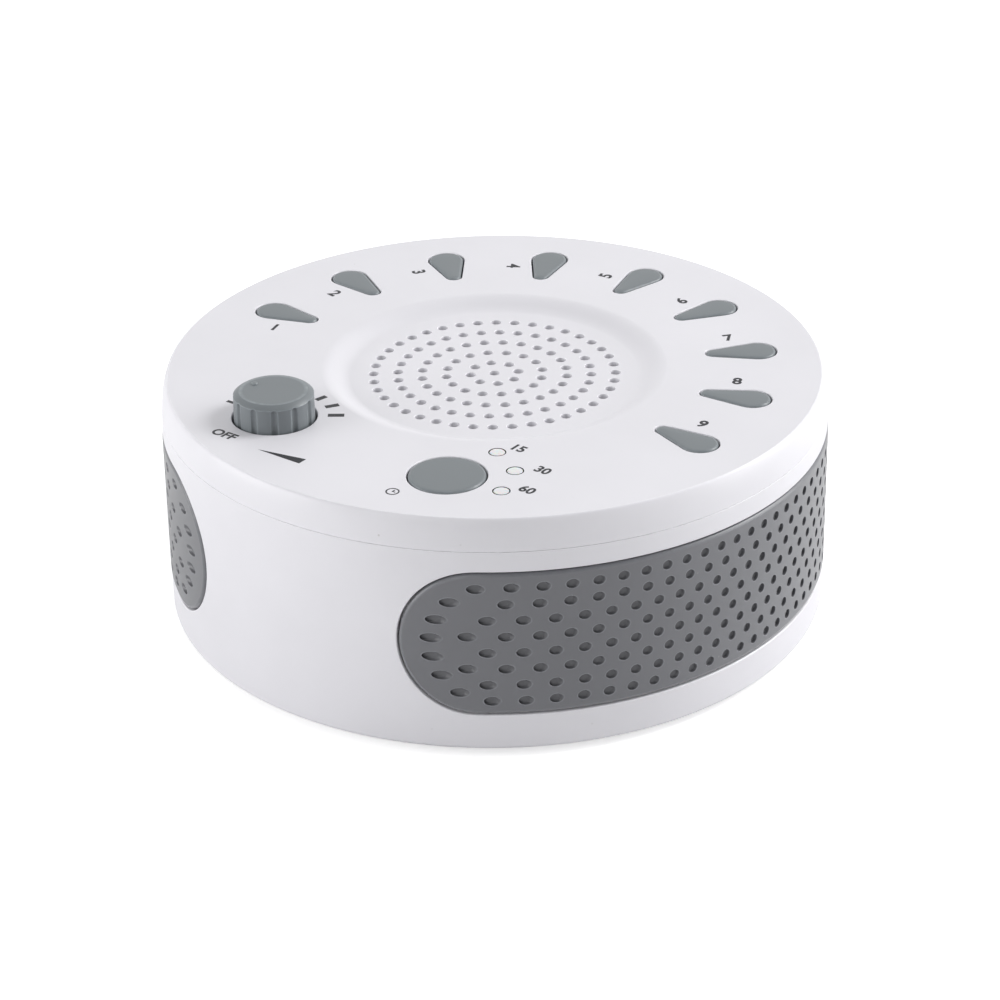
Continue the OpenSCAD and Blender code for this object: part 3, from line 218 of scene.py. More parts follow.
class Colours(bpy.types.PropertyGroup):
    """Colours of the mouldings and the print."""

    case_white: colour("Case white", "Cover and housing", (0.718, 0.711, 0.748))
    trim_grey: colour("Trim grey", "Caps and knob", (0.174, 0.193, 0.205))
    grip_grey: colour("Grip grey", "Side grips", (0.151, 0.154, 0.168))
    light_white: colour("Light white", "Light pipes", (0.73, 0.73, 0.74))
    ink: colour("Ink", "Printing", (0.020, 0.021, 0.026))


# ------------------------------------------------------------------ outlines and surfaces


def circle_outline(centre, radius, steps):
    """Circle. Each row holds the centre, the radius and the outward direction, so that the
    outline can grow: a point is the centre plus (radius + growth) times the direction."""
    a = np.arange(steps) * TAU / steps
    row = np.ones(steps)
    return np.column_stack(
        (row * centre[0], row * centre[1], row * radius, np.cos(a), np.sin(a)))


def belt_outline(circles, arc_steps, side_steps):
    """Belt round a ring of circles, counter-clockwise. Between two circles it leans towards the
    next one by the arcsine of the difference of the radii over the distance; each circle adds
    the arc between its two tangents, and the straight sides are divided evenly."""
    circle = np.array(circles, float)
    after = np.roll(circle, -1, axis=0)
    way = after[:, :2] - circle[:, :2]
    distance = np.linalg.norm(way, axis=1, keepdims=True)
    way /= distance
    lean = (circle[:, 2:] - after[:, 2:]) / distance
    out = np.column_stack((way[:, 1], -way[:, 0])) * np.sqrt(1 - lean**2) + way * lean
    leave = np.arctan2(out[:, 1], out[:, 0])
    turn = (leave - np.roll(leave, 1)) % TAU
    a = (leave - turn)[:, None] + turn[:, None] * np.linspace(0, 1, arc_steps + 1)
    arcs = np.dstack((np.repeat(circle[:, None, :], arc_steps + 1, axis=1), np.cos(a), np.sin(a)))
    t = (np.arange(1, side_steps) / side_steps)[None, :, None]
    between = circle[:, None, :] * (1 - t) + after[:, None, :] * t
    sides = np.dstack((between, np.repeat(out[:, None, :], side_steps - 1, axis=1)))
    return np.concatenate((arcs, sides), axis=1).reshape(-1, 5)


def on_circle(radius, degrees):
    """Point on a circle round the middle."""
    a = math.radians(degrees)
    return radius * math.cos(a), radius * math.sin(a)


def turned(outline, a):
    """The outline turned by angle a about the middle."""
    turn = np.array(((math.cos(a), math.sin(a)), (-math.sin(a), math.cos(a))))
    return np.column_stack((outline[:, :2] @ turn, outline[:, 2], outline[:, 3:] @ turn))


def rings(outline, profile):
    """One ring of the outline for each (growth, depth) of the profile."""
    grow, depth = np.array(profile, float).T[:, :, None, None]
    flat = outline[:, :2] + (outline[:, 2:3] + grow) * outline[:, 3:]
    return np.concatenate((flat, np.broadcast_to(depth, flat.shape[:2] + (1,))), axis=2)


def round_loop(radius, steps):
    """Circle round the middle as one ring of points."""
    return rings(circle_outline((0, 0), radius, steps), [(0, 0)])[0]


def quarter(radius, steps=4):
    """Quarter circle from the skin into a hole: growth r(1 - sin t), depth r(1 - cos t)."""
    t = np.linspace(0, math.pi / 2, steps + 1)
    return np.column_stack((radius * (1 - np.sin(t)), radius * (1 - np.cos(t))))


def hole_profile(radius, *steps):
    """Narrow flat margin and rounded edge of an opening, then the given (growth, depth) steps."""
    return np.vstack(((radius + MARGIN, 0), quarter(radius), *steps))


def on_plane(z, way):
    """Lays (x, y, depth) on a level plane, with depth going up (1) or down (-1)."""
    return lambda p: np.stack((p[..., 0], p[..., 1], z + way * p[..., 2]), axis=-1)


def on_wall(radius, start=0.0):
    """Rolls (run, height, depth) round a cylinder: the angle is the run over the radius."""

    def place(p):
        a = start + p[..., 0] / radius
        r = radius - p[..., 2]
        return np.stack((r * np.cos(a), r * np.sin(a), p[..., 1]), axis=-1)

    return place


def revolved(profile, steps, centre=(0.0, 0.0)):
    """Each (radius, height) of the profile carried round a vertical axis."""
    r, z = np.array(profile, float).T[:, :, None]
    a = np.arange(steps) * TAU / steps
    return np.stack((centre[0] + r * np.cos(a), centre[1] + r * np.sin(a),
                     np.broadcast_to(z, (len(r), steps))), axis=-1)


class Skin:
    """Gathers the points and faces of one piece: strips between rings, and webs that fill the
    space between outlines."""

    def __init__(self):
        self.points, self.faces, self.total = [], [], 0

    def _add(self, points, faces):
        """Keeps points and the faces that count from the first of them."""
        self.points.append(np.asarray(points, float).reshape(-1, 3))
        self.faces.extend((faces + self.total).tolist())
        self.total += len(self.points[-1])

    def strips(self, rows):
        """Quads between neighbouring rings of an array of rings x points x 3."""
        at = np.arange(rows.shape[0] * rows.shape[1]).reshape(rows.shape[:2])
        beside = np.roll(at, -1, axis=1)
        quads = np.stack((at[:-1], beside[:-1], beside[1:], at[1:]), axis=-1)
        self._add(rows, quads.reshape(-1, 4))

    def many(self, blocks):
        """Strips for many like pieces, blocks x rings x points x 3."""
        at = np.arange(blocks[..., 0].size).reshape(blocks.shape[:3])
        beside = np.roll(at, -1, axis=2)
        quads = np.stack((at[:, :-1], beside[:, :-1], beside[:, 1:], at[:, 1:]), axis=-1)
        self._add(blocks, quads.reshape(-1, 4))

    def web(self, place, depth, outer, holes=(), spare=()):
        """Delaunay triangles inside the outer loop and outside the holes, with spare points
        where the surface is round, laid at one depth by place."""
        loops = [outer[:, :2], *[h[:, :2] for h in holes]]
        ends = np.cumsum([len(loop) for loop in loops])
        edges = [list(range(end - len(loop), end)) for loop, end in zip(loops, ends)]
        flat = np.vstack(loops + ([spare] if len(spare) else []))
        corners, _, faces, _, _, inside = delaunay_2d_cdt(
            [Vector(p) for p in flat.tolist()], [], edges, 0, WELD / 20, True)
        kept = np.array([f for f, loops_in in zip(faces, inside) if loops_in == [0]])
        points = np.column_stack((np.array([tuple(c) for c in corners]),
                                  np.full(len(corners), depth)))
        self._add(place(points), kept)

    def post(self, centre, inner, outer, low, high, steps=32):
        """Upright tube, or a solid post where inner is zero."""
        self.strips(revolved([(inner, low), (outer, low), (outer, high), (inner, high),
                              (inner, low)], steps, centre))


def read(items, key, width=3, kind=float):
    """One property of all of a mesh's items, with a row for each item where it has parts."""
    values = np.empty(len(items) * width, kind)
    items.foreach_get(key, values)
    return values.reshape(-1, width) if width > 1 else values


def keep_attribute(mesh, name, values):
    """Stores one number for each vertex."""
    mesh.attributes.new(name, "FLOAT", "POINT").data.foreach_set("value", values.astype(np.float32))


def relief_of(mesh):
    """Curvature at each vertex: the mean over its edges of twice the drop along the normal
    divided by the edge's length squared. Above zero on ridges and below in hollows."""
    points, normals = read(mesh.vertices, "co"), read(mesh.vertex_normals, "vector")
    ends = read(mesh.edges, "vertices", 2, np.int64)
    a, b = ends.T
    step = points[a] - points[b]
    square = np.maximum((step**2).sum(axis=1), WELD**2)
    bend, met = np.zeros(len(points)), np.zeros(len(points))
    np.add.at(bend, a, 2 * (normals[a] * step).sum(axis=1) / square)
    np.add.at(bend, b, -2 * (normals[b] * step).sum(axis=1) / square)
    np.add.at(met, ends, 1)
    return bend / np.maximum(met, 1)


def settle_normals(mesh, exact):
    """Corners that lie on a surface known exactly take its true normal."""
    normals = read(mesh.corner_normals, "vector")
    corners = read(mesh.vertices, "co")[read(mesh.loops, "vertex_index", 1, np.int64)]
    totals = read(mesh.polygons, "loop_total", 1, np.int64)
    true, found = exact(corners)
    facing = (np.repeat(read(mesh.polygons, "normal"), totals, axis=0) * true).sum(axis=1) > 0.5
    normals[found & facing] = true[found & facing]
    mesh.normals_split_custom_set(normals.tolist())


def round_wall(radius):
    """Gives the outward normals of points, and which of them lie on an upright cylinder."""

    def exact(p):
        r = np.hypot(p[:, 0], p[:, 1])
        out = np.column_stack((p[:, :2] / np.maximum(r, WELD)[:, None], np.zeros(len(p))))
        return out, abs(r - radius) < WELD

    return exact


def make_piece(name, skin, body, slot, nodes=(), exact=None, sharp=32, sunk=None):
    """Welds the skin, points its faces outwards, smooths it and puts it in the frame. Where sunk
    is given, its share for every vertex is kept as an attribute."""
    mesh = bpy.data.meshes.new(name)
    mesh.from_pydata(np.vstack(skin.points).tolist(), [], skin.faces)
    work = bmesh.new()
    work.from_mesh(mesh)
    bmesh.ops.remove_doubles(work, verts=work.verts, dist=WELD)
    bmesh.ops.recalc_face_normals(work, faces=work.faces)
    work.to_mesh(mesh)
    work.free()
    mesh.polygons.foreach_set("use_smooth", [True] * len(mesh.polygons))
    mesh.set_sharp_from_angle(angle=math.radians(sharp))
    keep_attribute(mesh, "relief", relief_of(mesh) * MM)
    # The sunk share drives painted shade down in the dimples.
    if sunk:
        keep_attribute(mesh, "sunk", sunk(read(mesh.vertices, "co")))
    if exact:
        settle_normals(mesh, exact)
    return place_piece(bpy.data.objects.new(name, mesh), body, slot, nodes)


def place_piece(obj, body, slot, nodes=()):
    """Links a finished piece, gives it its finish and hides the nodes that it stands for."""
    bpy.context.scene.collection.objects.link(obj)
    obj.data.materials.append(finish(slot))
    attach(obj, body)
    if nodes:
        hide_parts(*nodes)
    return obj


# ------------------------------------------------------------------ case


def wall_radius(s, z):
    """Radius of the case: straight, then a quarter ellipse over the crown."""
    rise = np.clip((z - (RIM_Z - s.crown_height)) / s.crown_height, 0, 1)
    return CASE_R - s.crown_in * (1 - np.sqrt(1 - rise**2))


def crown_profile(s, low, high, steps):
    """Points of the crown between two heights, even in the ellipse's own angle, and one more
    close to each end."""
    foot = RIM_Z - s.crown_height
    a = np.linspace(*np.arcsin((np.array((low, high)) - foot) / s.crown_height), steps)
    a = np.sort(np.append(a, a[[0, -1]] + np.array((1, -1)) * MARGIN / s.crown_height))
    return np.column_stack((CASE_R - s.crown_in * (1 - np.cos(a)),
                            foot + s.crown_height * np.sin(a)))


def dish_profile(s, z, steps=20):
    """Slope of the dish, from its edge in: a half cosine wave."""
    t = np.linspace(1, 0, steps)
    return np.column_stack((s.dish_floor + (s.dish_radius - s.dish_floor) * t,
                            z - s.dish_depth * (1 + np.cos(math.pi * t)) / 2))


def button_angle(c, n):
    """Angle at which sound button n stands, with the first as number 0."""
    return c.first_angle - c.step_angle * n


def light_places(c):
    """Centres of the three lights, on an arc round the timer button."""
    a = c.light_angle + np.arange(-1, 2) * c.light_step
    return np.column_stack((TIMER_AT.x + c.light_at * np.cos(a),
                            TIMER_AT.y + c.light_back + c.light_at * np.sin(a)))


def teardrop(c, n):
    """Outline of sound button n's opening."""
    circles = [(c.tip_at, 0, c.tip), (c.end_at, 0, c.end)]
    return turned(belt_outline(circles, 16, 8), button_angle(c, n))


def cover_openings(s, c):
    """Outline and profile of every opening in the top plate."""
    through = hole_profile(s.lip, (0, s.plate))
    found = [(teardrop(c, n), through) for n in range(BUTTONS)]
    found.append((circle_outline(TIMER_AT, c.timer, 96), through))
    found += [(circle_outline(p, c.light + c.light_gap, 32),
               hole_profile(s.hole_lip / 2, (0, s.plate))) for p in light_places(c)]
    in_bore = c.bore - c.well
    found.append((circle_outline(KNOB_AT, c.well, 120), hole_profile(
        s.lip, (0, c.well_depth), (in_bore, c.well_depth), (in_bore, c.well_depth + c.well_wall),
        (c.well_wall, c.well_depth + c.well_wall), (c.well_wall, s.plate))))
    return found


def hole_centres(s):
    """Middle hole, then rings with 8, 16, 24 ... holes, each ring starting on the X axis."""
    places = [(0.0, 0.0)]
    for ring in range(1, s.hole_rings + 1):
        a = np.arange(ring * s.holes_per_ring) * TAU / (ring * s.holes_per_ring)
        places += zip(ring * s.hole_pitch * np.cos(a), ring * s.hole_pitch * np.sin(a))
    return np.array(places)


def cover_posts(skin, s):
    """Screw posts, the board's posts and the speaker's seat and locating ring under the plate."""
    under = RIM_Z - s.plate + LAP
    for degrees in SCREW_ANGLES:
        skin.post(on_circle(SCREW_RING, degrees), 1.25 * MM, 4 * MM, JOIN_Z, under)
    for degrees, mm in BOARD_POSTS:
        skin.post(on_circle(mm * MM, degrees), 0.9 * MM, 2.5 * MM, BOARD_Z, under)
    seat = RIM_Z - s.dish_depth - s.plate
    skin.post((0, 0), s.seat_in, s.seat_out, seat - s.seat_height, seat + LAP, s.round_steps)


def build_cover(s, c):
    """Cover: the plate between its openings, the dish with its holes, and the crown down to the
    seam and the tongue, as one closed skin."""
    skin, top, n = Skin(), on_plane(RIM_Z, -1), s.round_steps
    openings = [rings(outline, profile) for outline, profile in cover_openings(s, c)]
    for rows in openings:
        skin.strips(top(rows))
    seam_r = wall_radius(s, SEAM_Z)
    tongue_r = seam_r - s.wall - s.tongue_gap
    rim_r = CASE_R - s.crown_in - 2 * MARGIN
    dish = round_loop(s.dish_radius, n)
    inside = round_loop(tongue_r - s.tongue, n)
    skin.web(top, 0, round_loop(rim_r, n), [dish] + [rows[0] for rows in openings])
    skin.web(top, s.plate, inside, [dish] + [rows[-1] for rows in openings])
    skin.strips(revolved(dish_profile(s, RIM_Z), n))
    skin.strips(revolved(dish_profile(s, RIM_Z - s.plate), n))
    ledge = SEAM_Z + s.seam_gap
    outside = crown_profile(s, ledge + s.seam_bevel, RIM_Z, 26)[::-1]
    skin.strips(revolved(np.vstack((
        (rim_r, RIM_Z), outside, (seam_r - s.seam_bevel, ledge), (tongue_r, ledge),
        (tongue_r, SEAM_Z - s.tongue_height), (tongue_r - s.tongue, SEAM_Z - s.tongue_height),
        (tongue_r - s.tongue, RIM_Z - s.plate))), n))
    build_grille(skin, s, top)
    cover_posts(skin, s)
    floor_z = RIM_Z - s.dish_depth

    def exact(p):
        level = np.minimum(abs(p[:, 2] - RIM_Z), abs(p[:, 2] - floor_z)) < WELD
        return np.tile((0.0, 0.0, 1.0), (len(p), 1)), level

    make_piece("cover_shell", skin, "case", "case_white", ["top_cover"], exact)


def build_grille(skin, s, top):
    """Floor of the dish with its sound holes, each with a rounded edge and a straight wall."""
    hole = rings(circle_outline((0, 0), s.hole, 20), hole_profile(s.hole_lip, (0, s.plate)))
    centres = hole_centres(s)
    shift = np.column_stack((centres, np.full(len(centres), s.dish_depth)))
    holes = hole[None] + shift[:, None, None, :]
    skin.many(top(holes))
    floor = round_loop(s.dish_floor, s.round_steps)
    skin.web(top, s.dish_depth, floor, holes[:, 0])
    skin.web(top, s.dish_depth + s.plate, floor, holes[:, -1])


def stadium(g, half, run=0.0):
    """Outline of a grip in the rolled-out wall: a belt round two equal circles."""
    reach = g.end_angle * CASE_R
    return belt_outline([(run - reach, GRIP_Z, half), (run + reach, GRIP_Z, half)], 40, 80)


def wall_loop(s, low, high):
    """Edge of the rolled-out wall, cut at the front, with even points along top and bottom."""
    run = np.linspace(-TAU / 4, 3 * TAU / 4, s.round_steps + 1) * CASE_R
    rise = np.linspace(low, high, 5)[1:-1]
    sides = np.ones(len(rise))
    return np.vstack((np.column_stack((run, run * 0 + low)),
                      np.column_stack((sides * run[-1], rise)),
                      np.column_stack((run[::-1], run * 0 + high)),
                      np.column_stack((sides * run[0], rise[::-1]))))


def spare_points(low, high, keep, step=3.2 * MM):
    """Grid over the rolled-out wall, without the points that keep rejects."""
    start, end = -TAU / 4 * CASE_R, 3 * TAU / 4 * CASE_R
    run, rise = np.meshgrid(np.arange(start + step, end - step / 2, step),
                            np.arange(low + step, high - step / 2, step))
    points = np.column_stack((run.ravel(), rise.ravel()))
    return points[keep(points)]


def stadium_distance(points, g):
    """Distance of rolled-out points from the nearer grip's middle line."""
    run = (points[:, 0] + TAU / 4 * CASE_R) % (TAU / 2 * CASE_R) - TAU / 4 * CASE_R
    beyond = np.maximum(abs(run) - g.end_angle * CASE_R, 0)
    return np.hypot(beyond, points[:, 1] - GRIP_Z)


def build_wall(skin, s, g):
    """Outer and inner skin of the wall, with a pocket for each grip and the inlet's hole."""
    wall, crown_z = on_wall(CASE_R), RIM_Z - s.crown_height
    low, half = BASE_Z + s.base_round, GRIP_HALF + g.gap
    jack = rings(circle_outline((TAU / 4 * CASE_R, JACK_Z), 4.1 * MM, 40),
                 hole_profile(s.lip, (0, s.wall)))
    skin.strips(wall(jack))
    pan, inner_low, inner_high = g.recess + s.wall, BASE_Z + s.plate, SEAM_Z - s.seam_bevel
    pockets, backs = [], []
    for run in (0.0, TAU / 2 * CASE_R):
        outline = stadium(g, half, run)
        pockets.append(rings(outline, hole_profile(s.lip, (0, g.recess))))
        backs.append(rings(outline, [(s.wall, s.wall), (s.wall, pan)]))
        inside = spare_points(low, inner_high, lambda p: (
            (stadium_distance(p, g) < half - 1 * MM) & (abs(p[:, 0] - run) < TAU / 4 * CASE_R)))
        skin.strips(wall(pockets[-1]))
        skin.strips(wall(backs[-1]))
        skin.web(wall, g.recess, pockets[-1][-1], spare=inside)
        skin.web(wall, pan, backs[-1][-1], spare=inside)
    jack_at = np.array((TAU / 4 * CASE_R, JACK_Z))
    for depth, bottom, top, clear, holes in (
            (0, low, crown_z, 1 * MM, [rows[0] for rows in pockets] + [jack[0]]),
            (s.wall, inner_low, inner_high, 3 * MM, [rows[0] for rows in backs] + [jack[-1]])):
        spare = spare_points(bottom, top, lambda p: (
            (stadium_distance(p, g) > half + clear)
            & (np.linalg.norm(p - jack_at, axis=1) > 5.5 * MM)))
        skin.web(wall, depth, wall_loop(s, bottom, top), holes, spare)


def screw_and_foot_openings(s):
    """Rings of the screw shafts, which run through their posts, and of the feet's seats."""
    shaft, bore, post = 3.2 * MM, 1.6 * MM, 4.6 * MM
    rise = JOIN_Z - BASE_Z
    down_to_head = 12 * MM
    screw = hole_profile(s.lip, (0, down_to_head), (bore - shaft, down_to_head),
                         (bore - shaft, rise), (post - shaft, rise), (post - shaft, s.plate))
    seat = hole_profile(s.hole_lip, (0, SEAT_DEPTH))
    return ([rings(circle_outline(on_circle(SCREW_RING, degrees), shaft, 40), screw)
             for degrees in SCREW_ANGLES],
            [rings(circle_outline(on_circle(FOOT_RING, degrees), 6.1 * MM, 60), seat)
             for degrees in FOOT_ANGLES])


def rectangle(half_x, half_y, corner):
    """Outline of a rectangle with round corners."""
    x, y = half_x - corner, half_y - corner
    return belt_outline([(x, y, corner), (-x, y, corner), (-x, -y, corner), (x, -y, corner)], 4, 12)


def build_floor(skin, s):
    """Floor with the battery bay, the screw shafts and the seats of the feet."""
    under = on_plane(BASE_Z, 1)
    shafts, seats = screw_and_foot_openings(s)
    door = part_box("battery_door")[1]
    gap, ledge, bay_wall, door_thick = 0.3 * MM, 1.9 * MM, 1.8 * MM, 2 * MM
    roof = door_thick + 15.4 * MM
    opening = rectangle(door.x + gap, door.y + gap, 0.6 * MM)
    bay = rings(opening, hole_profile(
        s.hole_lip, (0, door_thick), (-ledge, door_thick), (-ledge, roof)))
    block = rings(opening, [(bay_wall - ledge, s.plate), (bay_wall - ledge, roof + bay_wall)])
    skin.strips(under(bay))
    skin.strips(under(block))
    skin.web(under, roof, bay[-1])
    skin.web(under, roof + bay_wall, block[-1])
    for rows in shafts + seats:
        skin.strips(under(rows))
    for rows in seats:
        skin.web(under, SEAT_DEPTH, rows[-1])
    outer = round_loop(CASE_R - s.base_round, s.round_steps)
    inner = round_loop(CASE_R - s.wall, s.round_steps)
    skin.web(under, 0, outer, [bay[0]] + [rows[0] for rows in shafts + seats])
    skin.web(under, s.plate, inner, [block[0]] + [rows[-1] for rows in shafts])


def build_housing(s, g):
    """Housing: wall, bottom edge, floor and the ledge under the seam, as one closed skin."""
    skin, n = Skin(), s.round_steps
    build_wall(skin, s, g)
    build_floor(skin, s)
    edge = quarter(s.base_round, 8)
    skin.strips(revolved(np.column_stack((CASE_R - edge[:, 1], BASE_Z + edge[:, 0])), n))
    seam_r = wall_radius(s, SEAM_Z)
    skin.strips(revolved(np.vstack((
        crown_profile(s, RIM_Z - s.crown_height, SEAM_Z - s.seam_gap - s.seam_bevel, 8),
        (seam_r - s.seam_bevel, SEAM_Z - s.seam_gap), (seam_r - s.wall, SEAM_Z - s.seam_gap),
        (CASE_R - s.wall, SEAM_Z - s.seam_bevel))), n))

    make_piece("housing_shell", skin, "case", "case_white", ["lower_housing"], round_wall(CASE_R))


# ------------------------------------------------------------------ grips


def dimple_centres(g):
    """Dimples of one grip, seen square to it: a ring walked evenly along two straight rows and
    two half ellipses, and staggered rows inside it."""
    tip = CASE_R * math.sin(g.end_angle) - 1 * MM
    half = GRIP_HALF - g.ring_inset
    bulge = 0.44 * half
    a = np.linspace(0, TAU, 121)
    side = np.where((a <= TAU / 4 + 1e-9) | (a > 3 * TAU / 4 + 1e-9), 1, -1)
    outline = np.column_stack((side * tip + bulge * np.cos(a), half * np.sin(a)))
    walked = np.concatenate(((0,), np.cumsum(np.linalg.norm(np.diff(outline, axis=0), axis=1))))
    dimples = round(walked[-1] / g.ring_pitch)
    u = (g.ring_start + np.arange(dimples) * walked[-1] / dimples) % walked[-1]
    ring = np.column_stack([np.interp(u, walked, way) for way in outline.T])
    columns = math.floor(tip / g.pitch) + 1
    row, column = np.meshgrid(np.arange(g.rows), np.arange(-columns, columns + 1), indexing="ij")
    y = ((column + (row % 2) / 2) * g.pitch).ravel()
    z = ((row - (g.rows - 1) / 2) * g.row_pitch).ravel()
    h, e = half - g.field_inset, bulge - g.field_inset
    beyond = np.maximum(abs(y) - tip, 0) / e
    inside = (abs(z) <= h) & (beyond**2 + (z / h) ** 2 <= np.where(beyond > 0, 1, 2))
    return np.vstack((ring, np.column_stack((y, z))[inside]))


def dimple_rings(g):
    """Rings of every dimple, rolled out: circles seen along the mould's pull, so that the run at
    each depth is the radius times the arcsine of the way across over the radius less the depth.
    Inside a flat margin the rim is a small round, the side is straight and the floor follows
    the skin."""
    share_out = np.array((1.26, 1.07, 1.02, 1.0, 0.98, 0.95, 0.90, 0.55, 0.0))
    share_in = np.array((0.0, 0.0, 0.03, 0.12, 0.82, 0.95, 1.0, 1.0, 1.0))
    a = np.arange(18) * TAU / 18
    centres = dimple_centres(g)
    rho = (g.dimple * share_out)[None, :, None]
    y = centres[:, 0, None, None] + rho * np.cos(a)
    z = centres[:, 1, None, None] + rho * np.sin(a)
    depth = np.broadcast_to((g.dimple_depth * share_in)[None, :, None], y.shape)
    return np.stack((GRIP_R * np.arcsin(y / (GRIP_R - depth)), GRIP_Z + z, depth), axis=-1)


def build_pegs(skin, g, start):
    """Pegs behind a grip, each a rod with a head that is melted over behind the wall."""
    head_r, head, long, foot = g.peg + 1 * MM, 1 * MM, 6 * MM, 64.4 * MM
    rod = revolved([(0, 0), (head_r, 0), (head_r, head), (g.peg, head), (g.peg, long),
                    (0, long)], 24)
    out, across, up = rod[..., 2] + foot, rod[..., 0], rod[..., 1] + GRIP_Z
    for a in np.radians((-42, -14, 14, 42)) + start:
        skin.strips(np.stack((out * math.cos(a) - across * math.sin(a),
                              out * math.sin(a) + across * math.cos(a), up), axis=-1))


def build_grip(name, node, g, start):
    """Grip: the dimpled face between its rounded edge and the dimples' rims, the edge, and the
    plain back, rolled round the wall."""
    skin, wall = Skin(), on_wall(GRIP_R, start)
    reach = g.end_angle * GRIP_R
    outline = belt_outline([(-reach, GRIP_Z, GRIP_HALF), (reach, GRIP_Z, GRIP_HALF)], 40, 80)
    thick = g.recess + GRIP_R - CASE_R
    edge = np.vstack(((-g.edge - MARGIN, 0), quarter(g.edge, 8) * (-1, 1), (0, thick)))
    rows = rings(outline, edge)
    dimples = dimple_rings(g)
    skin.strips(wall(rows))
    skin.many(wall(dimples))
    skin.web(wall, 0, rows[0], dimples[:, 0])
    run, rise = np.meshgrid(np.arange(-reach, reach, 3 * MM),
                            GRIP_Z + np.linspace(-0.8, 0.8, 7) * GRIP_HALF)
    skin.web(wall, thick, rows[-1], spare=np.column_stack((run.ravel(), rise.ravel())))
    build_pegs(skin, g, start)

    # The finish darkens the dimples' floors by this share: painted shade.
    def sunk(p):
        """How deep a point lies in a dimple, as a share of the dimples' depth."""
        run = np.arctan2(p[:, 1] * math.cos(start) - p[:, 0] * math.sin(start),
                         p[:, 0] * math.cos(start) + p[:, 1] * math.sin(start)) * CASE_R
        inside = stadium_distance(np.column_stack((run, p[:, 2])), g) < GRIP_HALF - 1.2 * g.edge
        depth = (GRIP_R - np.hypot(p[:, 0], p[:, 1])) / g.dimple_depth
        return np.where(inside & (depth < 1.3), np.clip(depth, 0, 1), 0)

    make_piece(name, skin, "case", "grip_grey", [node], round_wall(GRIP_R), sunk=sunk)


# ------------------------------------------------------------------ caps, knob and lights


LIP_TOP = RIM_Z - 2.25 * MM  # the caps' lips lie just under the plate
EDGE_POWER = 1.7  # p in the form of the knob's top edge


def cap_edge(c):
    """Rounded edge of a cap, as (growth from the opening, height), from its side to its face."""
    inward, down = quarter(c.cap_round, 6)[::-1].T
    return np.column_stack((-c.gap - inward, CAP_TOP - c.dome - down))


def build_sound_cap(c, n):
    """Teardrop cap: rings of one outline up the side and round the edge, then drawn in to the
    middle line, with a face that falls as a parabola from that line to the edge."""
    skin, outline = Skin(), teardrop(c, n)
    low = LIP_TOP - c.lip_height
    side = [(c.cap_lip, low), (c.cap_lip, LIP_TOP), (-c.gap, LIP_TOP)]
    skin.strips(rings(outline, np.vstack((side, cap_edge(c)))))
    t = np.linspace(1, 0, 9)[:, None, None]
    reach = outline[:, 2:3] - c.gap - c.cap_round
    flat = outline[None, :, :2] + reach * t * outline[:, 3:]
    rise = np.broadcast_to(CAP_TOP - c.dome * t**2, flat.shape[:2] + (1,))
    skin.strips(np.concatenate((flat, rise), axis=2))
    foot = rings(outline, [(c.cap_lip, low)])[0]
    spine = np.column_stack((outline[:, :2], foot[:, 2]))
    skin.strips(np.stack((foot, spine)))
    a, reach_mid = button_angle(c, n), (c.tip_at + c.end_at) / 2
    skin.post((reach_mid * math.cos(a), reach_mid * math.sin(a)), 0, c.stem, PLUNGER_TOP, low + LAP)
    name = f"sound_button_{n + 1}"
    make_piece(f"sound_cap_{n + 1}", skin, name, "trim_grey", [name], sharp=40)


def build_timer_cap(c):
    """Round cap: a profile carried round its axis, with a face that falls as a parabola."""
    skin, low, r = Skin(), LIP_TOP - c.lip_height, c.timer - c.gap
    edge = cap_edge(c) + (c.timer, 0)
    t = np.linspace(1, 0, 14)[1:]
    face = np.column_stack((edge[-1, 0] * t, CAP_TOP - c.dome * t**2))
    side = [(0, low), (c.timer + c.cap_lip, low), (c.timer + c.cap_lip, LIP_TOP), (r, LIP_TOP)]
    skin.strips(revolved(np.vstack((side, edge, face)), 120, TIMER_AT))
    skin.post(TIMER_AT, 0, c.stem, PLUNGER_TOP, low + LAP)
    make_piece("timer_cap", skin, "timer_button", "trim_grey", ["timer_button"], sharp=40)


def flute_angles(c):
    """Angles round the knob, closer together at the grooves and their lips."""
    steps = np.linspace(-1, 1, 29)[:-1]
    spread = np.sign(steps) * abs(steps) ** 1.5 * TAU / c.flutes / 2
    centres = c.pointer + c.flute_lead + np.arange(c.flutes) * TAU / c.flutes
    return (centres[:, None] + spread).ravel(), np.tile(spread, c.flutes)


